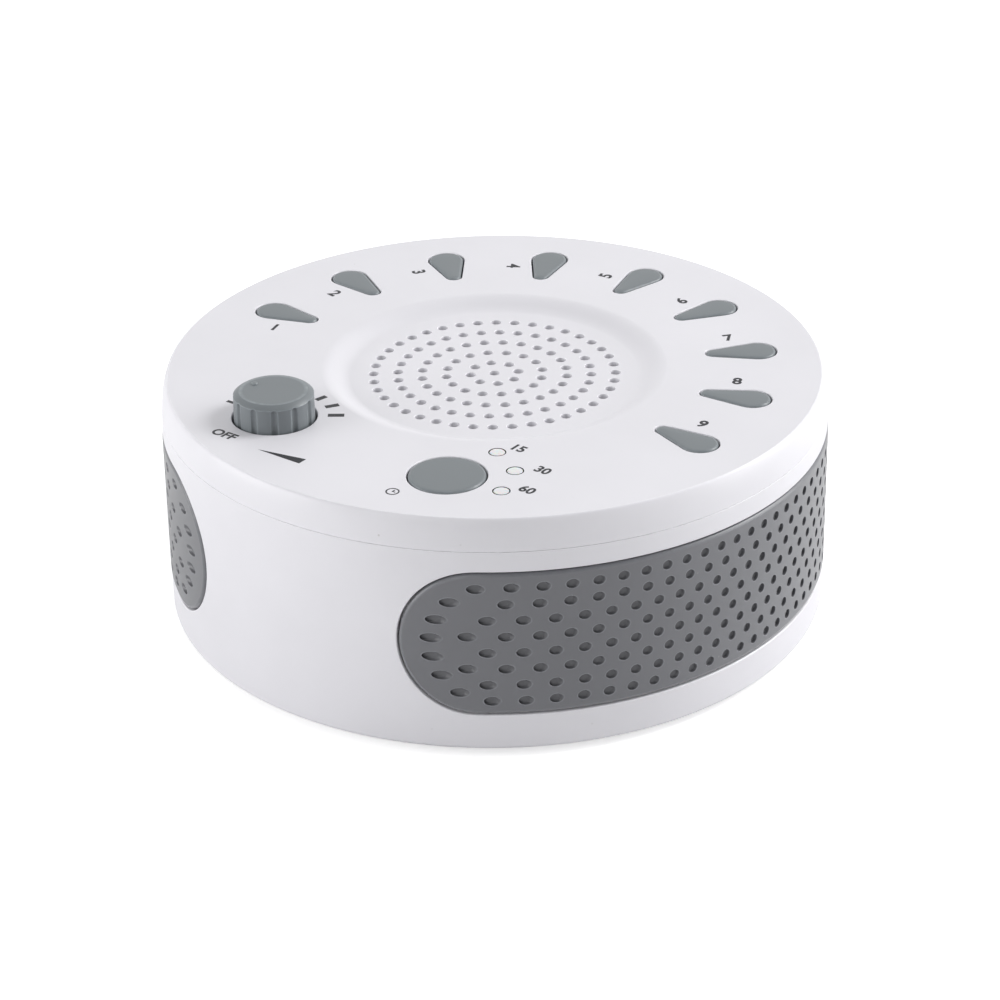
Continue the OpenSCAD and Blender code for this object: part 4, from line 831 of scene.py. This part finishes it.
def build_knob(c):
    """Knob: the drafted side and the top edge, with round grooves cut into both. The edge runs
    in by w(1 - cos^p t) and up by h(1 - sin^p t). Round the axis the cut lies at
    k cos d - sqrt(f^2 - k^2 sin^2 d), where k is the distance of the groove's axis, f its radius
    and d the angle from it; f shrinks as a half circle at the groove's upper end. The smaller of
    side and cut is kept, blended over a short width, which rounds the lips."""
    top = RIM_Z + c.knob_height
    arc_low, tips = top - c.edge_height, top - c.flute_drop - c.flute
    t = np.linspace(0, math.pi / 2, 14)[1:]
    z = np.concatenate((np.linspace(KNOB_LOW, tips, 14), np.linspace(tips, arc_low, 6)[1:],
                        top - c.edge_height * (1 - np.sin(t) ** EDGE_POWER)))
    side = np.concatenate((
        np.interp(z[:-len(t)], (KNOB_LOW, arc_low), (c.knob_foot, c.knob_top)),
        c.knob_top - c.edge_width * (1 - np.cos(t) ** EDGE_POWER)))
    a, off = flute_angles(c)
    f = (c.flute * np.sqrt(1 - np.clip((z - tips) / c.flute, 0, 1) ** 2))[:, None]
    k = c.knob_foot + 0.45 * c.flute
    reach = f**2 - (k * np.sin(off)) ** 2
    cut = np.where(reach > 0, k * np.cos(off) - np.sqrt(np.maximum(reach, 0)), k)
    blend = 0.16 * MM
    h = np.clip(0.5 + 0.5 * (cut - side[:, None]) / blend, 0, 1)
    r = side[:, None] * h + cut * (1 - h) - blend * h * (1 - h)
    face = np.linspace(1, 0, 8)[1:, None] * r[-1]
    socket, roof = c.shaft + 0.02 * MM, top - 1.6 * MM
    socket_r = np.full_like(a, socket)
    rows_r = np.vstack((np.zeros_like(a), socket_r, socket_r, r, face))
    rows_z = np.concatenate(((roof, roof, KNOB_LOW), z, np.full(len(face), top)))
    skin = Skin()
    skin.strips(np.stack((KNOB_AT.x + rows_r * np.cos(a), KNOB_AT.y + rows_r * np.sin(a),
                          np.repeat(rows_z[:, None], len(a), axis=1)), axis=-1))
    mark_at = c.knob_top - c.edge_width - c.mark_inset
    t = np.linspace(0, math.pi / 2, 7)
    mark = np.vstack(((0, -LAP), (c.mark, -LAP), np.column_stack((
        c.mark - c.mark_height * (1 - np.cos(t)), c.mark_height * np.sin(t))), (0, c.mark_height)))
    skin.strips(revolved(mark + (0, top), 32, (KNOB_AT.x + mark_at * math.cos(c.pointer),
                                              KNOB_AT.y + mark_at * math.sin(c.pointer))))
    make_piece("knob_fluted", skin, "volume_knob", "trim_grey", ["volume_knob"], sharp=50)


def build_lights(c):
    """Three light pipes: a rod with a flange under the plate and a rounded end in the face."""
    skin = Skin()
    t = np.linspace(0, math.pi / 2, 6)
    edge = 0.2 * MM
    flange_top = RIM_Z - 2.2 * MM
    for p in light_places(c):
        skin.strips(revolved(np.vstack((
            (0, PIPE_LOW), (c.light, PIPE_LOW), (c.light, flange_top - 1 * MM),
            (c.light + 0.9 * MM, flange_top - 1 * MM), (c.light + 0.9 * MM, flange_top),
            (c.light, flange_top),
            np.column_stack((c.light - edge + edge * np.cos(t), RIM_Z - edge + edge * np.sin(t))),
            (0, RIM_Z + 0.03 * MM))), 40, p))
    make_piece("timer_lights", skin, "case", "light_white", ["timer_light_pipes"], sharp=40)
    # Painted shade: a dark tube in the gap round each pipe, just under the face, stands in for the
    # shadow in that narrow gap.
    gap_shade = Skin()
    for p in light_places(c):
        gap_shade.post(p, c.light, c.light + c.light_gap, flange_top, RIM_Z - 0.05 * MM, 40)
    make_piece("light_gap_shade", gap_shade, "case", "foam_black", sharp=40)


# ------------------------------------------------------------------ printing


def add_ink(skin, outline):
    """Closed prism of ink in the top face over one outline of x and y: its side and both faces."""
    flat = np.asarray(outline, float)
    levels = RIM_Z - INK / 2, RIM_Z + INK
    skin.strips(np.stack([np.column_stack((flat, np.full(len(flat), z))) for z in levels]))
    for z in levels:
        skin.web(on_plane(z, 1), 0, flat)


def bar(centre, along, long, wide):
    """Rectangle of print, counter-clockwise, with its long side along an angle."""
    u = np.array((math.cos(along), math.sin(along)))
    v = np.array((-u[1], u[0]))
    corners = np.array(((-1, -1), (1, -1), (1, 1), (-1, 1))) * (long / 2, wide / 2)
    return np.array(centre) + corners @ np.array((u, v))


def print_ticks(c):
    """Eight ticks round the knob, growing from the first to the last."""
    skin = Skin()
    first, step, ticks = 181.6, 20.75, 8
    for i in range(ticks):
        grow = i / (ticks - 1)
        a = math.radians(first - step * i)
        near, far = (11.1 + 0.2 * grow) * MM, (13.0 + 1.8 * grow**2) * MM
        mid = (near + far) / 2
        centre = (KNOB_AT.x + mid * math.cos(a), KNOB_AT.y + mid * math.sin(a))
        add_ink(skin, bar(centre, a, far - near, (0.9 + 0.5 * grow) * MM))
    make_piece("volume_ticks", skin, "case", "ink", sharp=30)


def print_symbols():
    """A rising wedge beside the knob and a small clock beside the timer button."""
    skin = Skin()
    x, y, long, high = -15.4 * MM, -61.3 * MM, 11 * MM, 2.3 * MM
    add_ink(skin, [(x, y), (x + long, y), (x + long, y + high)])
    clock = (19.1 * MM, -59.9 * MM)
    ring = np.array([(1.45, 0), (1.45, 1), (1.15, 1), (1.15, 0), (1.45, 0)]) * (MM, INK * 1.5)
    skin.strips(revolved(ring + (0, RIM_Z - INK / 2), 48, clock))
    add_ink(skin, bar((clock[0], clock[1] + 0.35 * MM), TAU / 4, 0.9 * MM, 0.26 * MM))
    add_ink(skin, bar((clock[0] + 0.3 * MM, clock[1]), 0, 0.8 * MM, 0.26 * MM))
    make_piece("control_symbols", skin, "case", "ink", sharp=30)


def print_text(name, body, centre, along, height):
    """Text of a given height, made a mesh, thickened to a film of ink and laid on the face."""
    curve = bpy.data.curves.new(name, "FONT")
    curve.body, curve.extrude, curve.offset, curve.resolution_u = body, 0.02, 0.03, 6
    source = bpy.data.objects.new(name + "_source", curve)
    bpy.context.scene.collection.objects.link(source)
    bpy.context.view_layer.update()
    filled = source.evaluated_get(bpy.context.evaluated_depsgraph_get())
    mesh = bpy.data.meshes.new_from_object(filled)
    bpy.data.objects.remove(source)
    points = read(mesh.vertices, "co")
    low, high = points.min(axis=0), points.max(axis=0)
    flat = (points[:, :2] - (low + high)[:2] / 2) * height / (high - low)[1]
    u = np.array((math.cos(along), math.sin(along)))
    flat = flat @ np.array((u, (-u[1], u[0]))) + np.array(centre)
    z = np.where(points[:, 2] > 0, RIM_Z + INK, RIM_Z - INK / 2)
    mesh.vertices.foreach_set("co", np.column_stack((flat, z)).ravel())
    mesh.update()
    mesh.name = name
    place_piece(bpy.data.objects.new(name, mesh), "case", "ink")


def print_numbers(c):
    """Numbers 1 to 9 beside the sound buttons, where the first few read towards the middle, the
    minutes beside the lights, and OFF."""
    beside, ring, last_inward = math.radians(8), 53.4 * MM, 3
    for n in range(BUTTONS):
        a = button_angle(c, n) + beside
        print_text(f"number_{n + 1}", str(n + 1), (ring * math.cos(a), ring * math.sin(a)),
                   a if n > last_inward else a + math.pi, 3.2 * MM)
    for body, x, y in (("15", 28.7, -29.6), ("30", 38.5, -34.7), ("60", 41.0, -43.5)):
        print_text(f"minutes_{body}", body, (x * MM, y * MM), 0, 2.7 * MM)
    print_text("mark_OFF", "OFF", (-25.8 * MM, -60.0 * MM), 0, 2.65 * MM)


# ------------------------------------------------------------------ finishes


class Graph:
    """Adds nodes to a tree, with each input either a value or another node's output."""

    def __init__(self, tree):
        self.tree = tree

    def add(self, kind, inputs=(), **settings):
        """New node with its inputs and settings."""
        node = self.tree.nodes.new(kind)
        for key, value in settings.items():
            setattr(node, key, value)
        for key, value in dict(inputs).items():
            if isinstance(value, bpy.types.NodeSocket):
                self.tree.links.new(value, node.inputs[key])
            else:
                node.inputs[key].default_value = value
        return node

    def math(self, what, a, b=0.0, clamp=False):
        """Sum, product or the like of two numbers."""
        return self.add("ShaderNodeMath", {0: a, 1: b}, operation=what, use_clamp=clamp).outputs[0]

    def mix(self, fac, a, b):
        """Colour mix; a and b are colours or sockets."""
        return self.add("ShaderNodeMix", {0: fac, 6: a, 7: b}, data_type="RGBA").outputs[2]

    def bump(self, height, distance):
        """Normals from a height, at full strength."""
        return self.add("ShaderNodeBump", {
            "Height": height, "Strength": 1.0, "Distance": distance}).outputs[0]

    def noise(self, vector, scale, detail=2.0, rough=0.5):
        """Cloudy noise of a scale."""
        return self.add("ShaderNodeTexNoise", {
            "Vector": vector, "Scale": scale, "Detail": detail, "Roughness": rough}).outputs["Fac"]

    def span(self, value, low, high, to_low=0.0, to_high=1.0):
        """The span from low to high, stretched to another span and cut off at its ends."""
        return self.add("ShaderNodeMapRange", {
            "Value": value, "From Min": low, "From Max": high, "To Min": to_low,
            "To Max": to_high}).outputs["Result"]


def new_group(name, inputs, outputs):
    """Empty shader node group with float or vector inputs and float outputs."""
    tree = bpy.data.node_groups.new(name, "ShaderNodeTree")
    for label, kind, value in inputs:
        socket = tree.interface.new_socket(label, in_out="INPUT", socket_type=kind)
        if value is not None:
            socket.default_value = value
    for label in outputs:
        tree.interface.new_socket(label, in_out="OUTPUT", socket_type="NodeSocketFloat")
    return tree, tree.nodes.new("NodeGroupInput").outputs, tree.nodes.new("NodeGroupOutput").inputs


def moulded_group():
    """Skin of a moulding: fine spark-eroded grain, slow clouds and rare specks of dust."""
    tree, given, out = new_group("moulded_skin", [
        ("Position", "NodeSocketVector", None), ("Grain", "NodeSocketFloat", 3000.0),
        ("Cloud", "NodeSocketFloat", 40.0)], ["Height", "Cloud", "Specks"])
    g = Graph(tree)
    fine = g.noise(given["Position"], given["Grain"], 3.0, 0.6)
    pits = g.add("ShaderNodeTexVoronoi", {"Vector": given["Position"], "Scale": given["Grain"]},
                 feature="SMOOTH_F1").outputs["Distance"]
    tree.links.new(g.math("ADD", fine, g.math("MULTIPLY", pits, 0.6)), out["Height"])
    tree.links.new(g.noise(given["Position"], given["Cloud"], 4.0, 0.55), out["Cloud"])
    dots = g.add("ShaderNodeTexVoronoi", {"Vector": given["Position"], "Scale": 330.0},
                 feature="F1").outputs["Distance"]
    rare = g.span(g.noise(given["Position"], 95.0), 0.62, 0.72)
    tree.links.new(g.math("MULTIPLY", g.span(dots, 0.10, 0.05), rare, True), out["Specks"])
    return tree


def edges_group():
    """Ridges and hollows of a piece from its relief, broken up by noise, and its sunk places."""
    tree, given, out = new_group("edge_highlight_and_hollow_shade", [
        ("Position", "NodeSocketVector", None), ("Break", "NodeSocketFloat", 700.0)],
        ["Ridge", "HollowShade"])
    g = Graph(tree)
    relief = g.add("ShaderNodeAttribute", attribute_name="relief").outputs["Fac"]
    # Noise that breaks the painted highlight and shade into patches.
    patchy = g.span(g.noise(given["Position"], given["Break"], 4.0, 0.65), 0.35, 0.65, 0.35, 1.0)
    # The sunk share darkens the dimples' floors: painted shade.
    sunk = g.add("ShaderNodeAttribute", attribute_name="sunk").outputs["Fac"]
    # Ridge marks where a highlight is painted; the second output marks where shade is painted, in
    # hollows and in sunk places.
    tree.links.new(g.math("MULTIPLY", g.span(relief, 0.25, 1.5), patchy), out["Ridge"])
    hollow_shade = g.math("MULTIPLY", g.span(relief, -0.15, -1.2), patchy)
    tree.links.new(g.math("MAXIMUM", hollow_shade, g.span(sunk, 0.04, 0.3)), out["HollowShade"])
    return tree


def group_named(name, builder):
    """The node group of that name, built on its first use."""
    return bpy.data.node_groups.get(name) or builder()


def new_material(name, **sockets):
    """Material with one Principled shader whose named sockets hold plain values."""
    material = bpy.data.materials.new(name)
    material.use_nodes = True
    material.node_tree.nodes.clear()
    g = Graph(material.node_tree)
    shader = g.add("ShaderNodeBsdfPrincipled", sockets)
    g.add("ShaderNodeOutputMaterial", {"Surface": shader.outputs[0]})
    position = g.add("ShaderNodeTexCoord").outputs["Object"]
    return material, g, shader, position


def join(g, shader, **values):
    """Links sockets of the shader, such as Base_Color for Base Color."""
    for key, value in values.items():
        g.tree.links.new(value, shader.inputs[key.replace("_", " ")])


def shaded(rgb, k):
    """The colour, times k."""
    return (*[min(1.0, v * k) for v in rgb], 1.0)


def moulding(name, rgb, rough, grain=3000.0, height=0.006, cloud=40.0, ridge_highlight=1.12, hollow_shade=0.72,
             **sockets):
    """Moulded plastic or rubber: clouded tone, lighter ridges, darker hollows and a fine grain."""
    material, g, shader, position = new_material(name, **sockets)
    skin = g.add("ShaderNodeGroup", node_tree=group_named("moulded_skin", moulded_group))
    edges = g.add("ShaderNodeGroup", node_tree=group_named("edge_highlight_and_hollow_shade", edges_group))
    for node in (skin, edges):
        g.tree.links.new(position, node.inputs["Position"])
    skin.inputs["Grain"].default_value, skin.inputs["Cloud"].default_value = grain, cloud
    tone = g.mix(g.span(skin.outputs["Cloud"], 0.3, 0.7), shaded(rgb, 0.975), shaded(rgb, 1.02))
    # Painted highlight on ridges, then painted shade in hollows and sunk places.
    tone = g.mix(edges.outputs["Ridge"], tone, shaded(rgb, ridge_highlight))
    tone = g.mix(edges.outputs["HollowShade"], tone, shaded(rgb, hollow_shade))
    tone = g.mix(g.math("MULTIPLY", skin.outputs["Specks"], 0.35), tone, (0.32, 0.30, 0.28, 1))
    rough_now = g.math("ADD", g.span(skin.outputs["Cloud"], 0.25, 0.75, rough - 0.04, rough + 0.05),
                       g.math("MULTIPLY", edges.outputs["Ridge"], -0.08), True)
    join(g, shader, Base_Color=tone, Roughness=rough_now,
         Normal=g.bump(skin.outputs["Height"], height * MM))
    return material


def metal(name, rgb, rough, lines=(4000.0, 4000.0, 200.0)):
    """Metal with drawn lines and dull patches."""
    material, g, shader, position = new_material(name, Metallic=1.0)
    along = g.add("ShaderNodeMapping", {"Vector": position, "Scale": lines}).outputs[0]
    drawn = g.noise(along, 1.0, 3.0)
    dull = g.noise(position, 160.0, 4.0)
    join(g, shader, Base_Color=g.mix(g.span(dull, 0.35, 0.7), shaded(rgb, 0.82), shaded(rgb, 1.05)),
         Roughness=g.math("ADD", g.span(dull, 0.3, 0.7, rough - 0.06, rough + 0.1),
                          g.math("MULTIPLY", drawn, 0.08), True),
         Normal=g.bump(drawn, 0.004 * MM))
    return material


def woven(name, rgb, rough, threads=2600.0):
    """Cloth or paper: crossed threads from two waves, with loose fibres."""
    material, g, shader, position = new_material(name)
    waves = [g.add("ShaderNodeTexWave", {
        "Vector": position, "Scale": threads / 6, "Distortion": 1.2, "Detail": 2.0},
        bands_direction=way).outputs["Fac"] for way in ("X", "Y")]
    cross = g.math("MULTIPLY", *waves)
    fibre = g.noise(position, threads, 4.0, 0.7)
    tone = g.mix(g.math("MULTIPLY", cross, fibre), shaded(rgb, 0.7), shaded(rgb, 1.15))
    join(g, shader, Base_Color=tone, Roughness=g.span(fibre, 0.3, 0.7, rough - 0.08, rough),
         Normal=g.bump(cross, 0.03 * MM))
    return material


def circuit_board(name, rgb):
    """Lacquered board: copper tracks under green lacquer, as the cell edges of a square pattern."""
    material, g, shader, position = new_material(name)
    cells = g.add("ShaderNodeTexVoronoi", {"Vector": position, "Scale": 330.0},
                  feature="F1", distance="CHEBYCHEV").outputs["Distance"]
    track = g.span(cells, 0.42, 0.50)
    weave = g.noise(position, 1800.0, 2.0)
    tone = g.mix(track, shaded(rgb, 0.85), shaded(rgb, 1.9))
    join(g, shader, Base_Color=g.mix(g.math("MULTIPLY", weave, 0.3), tone, shaded(rgb, 0.6)),
         Roughness=g.span(weave, 0.3, 0.7, 0.28, 0.42),
         Normal=g.bump(track, 0.03 * MM))
    return material


def ink_film(name, rgb):
    """Pad-printed ink: nearly solid, a little thin in places."""
    material, g, shader, position = new_material(name)
    thin = g.noise(position, 2600.0, 3.0, 0.6)
    join(g, shader, Base_Color=g.mix(g.span(thin, 0.6, 0.8), shaded(rgb, 1.0), shaded(rgb, 3.0)),
         Roughness=g.span(thin, 0.3, 0.7, 0.42, 0.55))
    return material


def make_finish(slot, name):
    """The finish of one material slot, as a material of the given name."""
    k = bpy.context.scene.sound_machine_colours
    # For a moulding the numbers after the colour are roughness, grain, bump height, cloud, the
    # painted highlight on ridges and the painted shade in hollows.
    makers = {
        "case_white": (moulding, k.case_white, 0.36, 2600.0, 0.005, 30.0, 1.14, 0.74),
        "trim_grey": (moulding, k.trim_grey, 0.40, 3200.0, 0.007, 60.0, 1.45, 0.62),
        "grip_grey": (moulding, k.grip_grey, 0.34, 2400.0, 0.006, 50.0, 1.5, 0.70),
        "light_white": (moulding, k.light_white, 0.25, 3000.0, 0.003, 90.0, 1.02, 0.8),
        "plunger_white": (moulding, (0.78, 0.77, 0.74), 0.4),
        "ink": (ink_film, k.ink),
        "board_green": (circuit_board, (0.016, 0.105, 0.045)),
        "black_plastic": (moulding, (0.018, 0.018, 0.020), 0.45, 2800.0, 0.008),
        "steel": (metal, (0.60, 0.61, 0.63), 0.28),
        "magnet_grey": (moulding, (0.045, 0.045, 0.050), 0.62, 1800.0, 0.02),
        "cone_paper": (woven, (0.030, 0.030, 0.034), 0.85),
        "spider_cloth": (woven, (0.42, 0.28, 0.10), 0.85, 2000.0),
        "copper": (metal, (0.80, 0.40, 0.22), 0.25, (200.0, 200.0, 6000.0)),
        "foam_black": (moulding, (0.022, 0.022, 0.023), 0.85, 1500.0, 0.05),
        "dust_cloth": (woven, (0.012, 0.012, 0.013), 0.9, 3200.0),
        "terminal_brown": (woven, (0.17, 0.085, 0.035), 0.55, 1500.0),
        "header_cream": (moulding, (0.72, 0.66, 0.50), 0.42),
        "led_clear": (moulding, (0.80, 0.84, 0.80), 0.16, 3000.0, 0.001),
        "can_blue": (moulding, (0.025, 0.055, 0.22), 0.3, 2000.0, 0.003),
        "lead_red": (moulding, (0.42, 0.020, 0.018), 0.42, 2500.0, 0.006),
        "lead_black": (moulding, (0.014, 0.014, 0.015), 0.42, 2500.0, 0.006),
        "foot_rubber": (moulding, (0.030, 0.030, 0.032), 0.72, 2200.0, 0.02),
    }
    sockets = {
        "grip_grey": {"Sheen Weight": 0.35, "Sheen Roughness": 0.4},
        "light_white": {"Subsurface Weight": 0.3, "Subsurface Scale": 0.001},
    }
    maker, *values = makers.get(slot, makers["black_plastic"])
    return maker(name, *values, **sockets.get(slot, {}))


def finish(slot):
    """The slot's finish, made once. Its name differs from the CAD model's own plain material."""
    name = slot + "_finish"
    return bpy.data.materials.get(name) or make_finish(slot, name)


def smooth_by_angle():
    """Geometry nodes that shade a welded CAD mesh smooth, except at edges over 30 degrees."""
    tree = bpy.data.node_groups.get("smooth_by_angle")
    if tree:
        return tree
    tree = bpy.data.node_groups.new("smooth_by_angle", "GeometryNodeTree")
    tree.interface.new_socket("Geometry", in_out="INPUT", socket_type="NodeSocketGeometry")
    tree.interface.new_socket("Geometry", in_out="OUTPUT", socket_type="NodeSocketGeometry")
    g = Graph(tree)
    given = g.add("NodeGroupInput").outputs[0]
    whole = g.add("GeometryNodeSetShadeSmooth", {"Geometry": given}, domain="FACE").outputs[0]
    fold = g.add("GeometryNodeInputMeshEdgeAngle").outputs["Unsigned Angle"]
    steep = g.add("FunctionNodeCompare", {0: fold, 1: math.radians(30)},
                  data_type="FLOAT", operation="GREATER_THAN").outputs[0]
    parted = g.add("GeometryNodeSetShadeSmooth", {
        "Geometry": whole, "Selection": steep, "Shade Smooth": False}, domain="EDGE").outputs[0]
    g.add("NodeGroupOutput", {0: parted})
    return tree


def dress_inner_nodes():
    """Gives every CAD node that stays its finish and smooth shading."""
    slot_of = {p["node"]: p["material_slot"] for p in frame["record"]["subparts"]}
    for name, node in frame["nodes"].items():
        if node.hide_render:
            continue
        node.data.materials.clear()
        node.data.materials.append(finish(slot_of[name]))
        weld = node.modifiers.new("weld", "WELD")
        weld.merge_threshold = WELD
        shade = node.modifiers.new("smooth", "NODES")
        shade.node_group = smooth_by_angle()


# ------------------------------------------------------------------ stage


CAMERA_AT = (0.3884, -0.5113, 0.3603)
CAMERA_LIFT = math.radians(27.826)
CAMERA_TURN = math.radians(37.15)
CAMERA_ROLL = math.radians(0.859)
FOCAL = 3248.2  # in pixels of a frame 1000 wide


def add_camera():
    """Camera from its place, the turn of its view round the object, its lift and its roll."""
    c, s = math.cos(CAMERA_LIFT), math.sin(CAMERA_LIFT)
    right, up, ahead = Vector((1, 0, 0)), Vector((0, s, c)), Vector((0, c, -s))
    cr, sr = math.cos(CAMERA_ROLL), math.sin(CAMERA_ROLL)
    x, y = right * cr - up * sr, right * sr + up * cr
    basis = Matrix((x, y, -ahead)).transposed().to_4x4()
    camera = bpy.data.cameras.new("camera")
    camera.sensor_width = 36
    camera.lens = FOCAL * camera.sensor_width / 1000
    camera.clip_start, camera.clip_end = 0.01, 50
    obj = bpy.data.objects.new("camera", camera)
    obj.matrix_world = Matrix.Translation(CAMERA_AT) @ Matrix.Rotation(CAMERA_TURN, 4, "Z") @ basis
    bpy.context.scene.collection.objects.link(obj)
    bpy.context.scene.camera = obj


def add_area(name, azimuth, elevation, distance, size, watts):
    """Soft box that looks at the object; azimuth 0 stands on the viewer's side at -Y."""
    a, e = math.radians(azimuth), math.radians(elevation)
    way = Vector((math.sin(a) * math.cos(e), -math.cos(a) * math.cos(e), math.sin(e)))
    light = bpy.data.lights.new(name, "AREA")
    light.shape, light.size, light.size_y, light.energy = "RECTANGLE", size[0], size[1], watts
    obj = bpy.data.objects.new(name, light)
    obj.location = Vector((0, 0, 0.03)) + way * distance
    obj.rotation_euler = (-way).to_track_quat("-Z", "Y").to_euler()
    bpy.context.scene.collection.objects.link(obj)


def add_floor():
    """Pale round floor with a faint cloud in its tone, lifted towards white where the camera or
    a reflection sees it."""
    skin = Skin()
    skin.strips(revolved([(r, 0) for r in (0, 0.5, 1, 2, 4, 8)], 64))
    mesh = bpy.data.meshes.new("floor")
    mesh.from_pydata(np.vstack(skin.points).tolist(), [], skin.faces)
    material, g, shader, position = new_material("floor", Roughness=0.9)
    cloud = g.noise(position, 6.0, 3.0)
    shader.inputs["Emission Color"].default_value = (1, 1, 1, 1)
    path = g.add("ShaderNodeLightPath").outputs
    glow = g.math("ADD", g.math("MULTIPLY", path["Is Camera Ray"], 0.55),
                  g.math("MULTIPLY", path["Is Glossy Ray"], 0.1))
    join(g, shader, Base_Color=g.mix(cloud, (0.81, 0.81, 0.81, 1), (0.83, 0.83, 0.83, 1)),
         Emission_Strength=glow)
    mesh.materials.append(material)
    obj = bpy.data.objects.new("floor", mesh)
    bpy.context.scene.collection.objects.link(obj)


def add_world():
    """Surround that is dim on the viewer's side and bright behind the object: its strength grows
    with the square of the share of the way round to the back."""
    world = bpy.data.worlds.new("surround")
    world.use_nodes = True
    bpy.context.scene.world = world
    g = Graph(world.node_tree)
    way = g.add("ShaderNodeTexCoord").outputs["Generated"]
    back = (-math.sin(CAMERA_TURN), math.cos(CAMERA_TURN), 0.0)
    along = g.add("ShaderNodeVectorMath", {0: way, 1: back},
                  operation="DOT_PRODUCT").outputs["Value"]
    share_back = g.span(along, -1, 1)
    strength = g.span(g.math("MULTIPLY", share_back, share_back), 0, 1, 0.24, 1.0)
    world.node_tree.links.new(strength, world.node_tree.nodes["Background"].inputs["Strength"])
    world.node_tree.nodes["Background"].inputs["Color"].default_value = (1, 1, 1, 1)


def add_lights():
    """A key on the right, low boxes on both sides and a weak one in front, shown without a film
    curve."""
    bpy.context.scene.view_settings.view_transform = "Standard"
    add_world()
    add_area("key", 142, 40, 1.6, (0.6, 0.6), 13.5)
    add_area("box_right", 132, 14, 1.6, (1.2, 0.9), 12.5)
    add_area("box_left", -45, 15, 1.6, (1.2, 0.9), 15)
    add_area("box_front", 10, 28, 1.6, (1.0, 0.8), 4.5)


# ------------------------------------------------------------------ operators and panel


def builder(name, label, text, work):
    """Operator class that runs one build function."""

    def execute(self, context):
        work(context.scene)
        return {"FINISHED"}

    return type("SOUND_MACHINE_OT_" + name, (bpy.types.Operator,), {
        "bl_idname": "sound_machine." + name, "bl_label": label, "__doc__": text,
        "execute": execute})


def sizes_of(scene):
    """Sizes of the case, of the controls and of the grips."""
    return scene.sound_machine_case, scene.sound_machine_controls, scene.sound_machine_grips


def make_cover(scene):
    """Builds the cover."""
    s, c, _ = sizes_of(scene)
    build_cover(s, c)


def make_housing(scene):
    """Builds the housing."""
    s, _, g = sizes_of(scene)
    build_housing(s, g)


def make_grips(scene):
    """Builds the grips, the right one at the +X side."""
    g = scene.sound_machine_grips
    build_grip("grip_panel_right", "right_grip", g, 0.0)
    build_grip("grip_panel_left", "left_grip", g, math.pi)


def make_caps(scene):
    """Builds the nine sound buttons' caps."""
    for n in range(BUTTONS):
        build_sound_cap(scene.sound_machine_controls, n)


OPERATORS = [
    builder("cover", "Cover", "Build the cover with its dish and openings", make_cover),
    builder("housing", "Housing", "Build the wall, the floor and the battery bay", make_housing),
    builder("grips", "Grips", "Build the two dimpled grips", make_grips),
    builder("sound_caps", "Sound caps", "Build the nine teardrop caps", make_caps),
    builder("timer_cap", "Timer cap", "Build the round cap",
            lambda scene: build_timer_cap(scene.sound_machine_controls)),
    builder("knob", "Knob", "Build the fluted knob",
            lambda scene: build_knob(scene.sound_machine_controls)),
    builder("lights", "Timer lights", "Build the three light pipes",
            lambda scene: build_lights(scene.sound_machine_controls)),
    builder("ticks", "Ticks and symbols", "Print the ticks, the wedge and the clock",
            lambda scene: (print_ticks(scene.sound_machine_controls), print_symbols())),
    builder("numbers", "Numbers", "Print the numbers and OFF",
            lambda scene: print_numbers(scene.sound_machine_controls)),
    builder("inner_parts", "Inner parts", "Give the parts inside and underneath their finishes",
            lambda scene: dress_inner_nodes()),
    builder("stage", "Stage", "Add the floor, the lights and the camera",
            lambda scene: (add_floor(), add_lights(), add_camera())),
]


class SOUND_MACHINE_PT_panel(bpy.types.Panel):
    """Lists the sizes, the colours and the build steps."""

    bl_label = "Sound Machine"
    bl_space_type = "VIEW_3D"
    bl_region_type = "UI"
    bl_category = "Sound Machine"

    def draw(self, context):
        for operator in OPERATORS:
            self.layout.operator(operator.bl_idname)
        for group in GROUPS:
            box = self.layout.box()
            settings = getattr(context.scene, group)
            for key in settings.__annotations__:
                box.prop(settings, key)


GROUPS = {
    "sound_machine_case": CaseSizes,
    "sound_machine_controls": ControlSizes,
    "sound_machine_grips": GripSizes,
    "sound_machine_colours": Colours,
}


def register():
    """Adds the classes, and the properties to the scene."""
    for cls in (*GROUPS.values(), *OPERATORS, SOUND_MACHINE_PT_panel):
        bpy.utils.register_class(cls)
    for name, cls in GROUPS.items():
        setattr(bpy.types.Scene, name, bpy.props.PointerProperty(type=cls))


def unregister():
    """Takes the properties and the classes away again."""
    for name in GROUPS:
        delattr(bpy.types.Scene, name)
    for cls in (SOUND_MACHINE_PT_panel, *OPERATORS, *reversed(list(GROUPS.values()))):
        bpy.utils.unregister_class(cls)


def main():
    """Registers the add-on, runs its steps in order and writes both boxes to the size file."""
    register()
    for operator in OPERATORS:
        getattr(bpy.ops.sound_machine, operator.bl_idname.split(".")[1])()


if __name__ == "__main__":
    main()
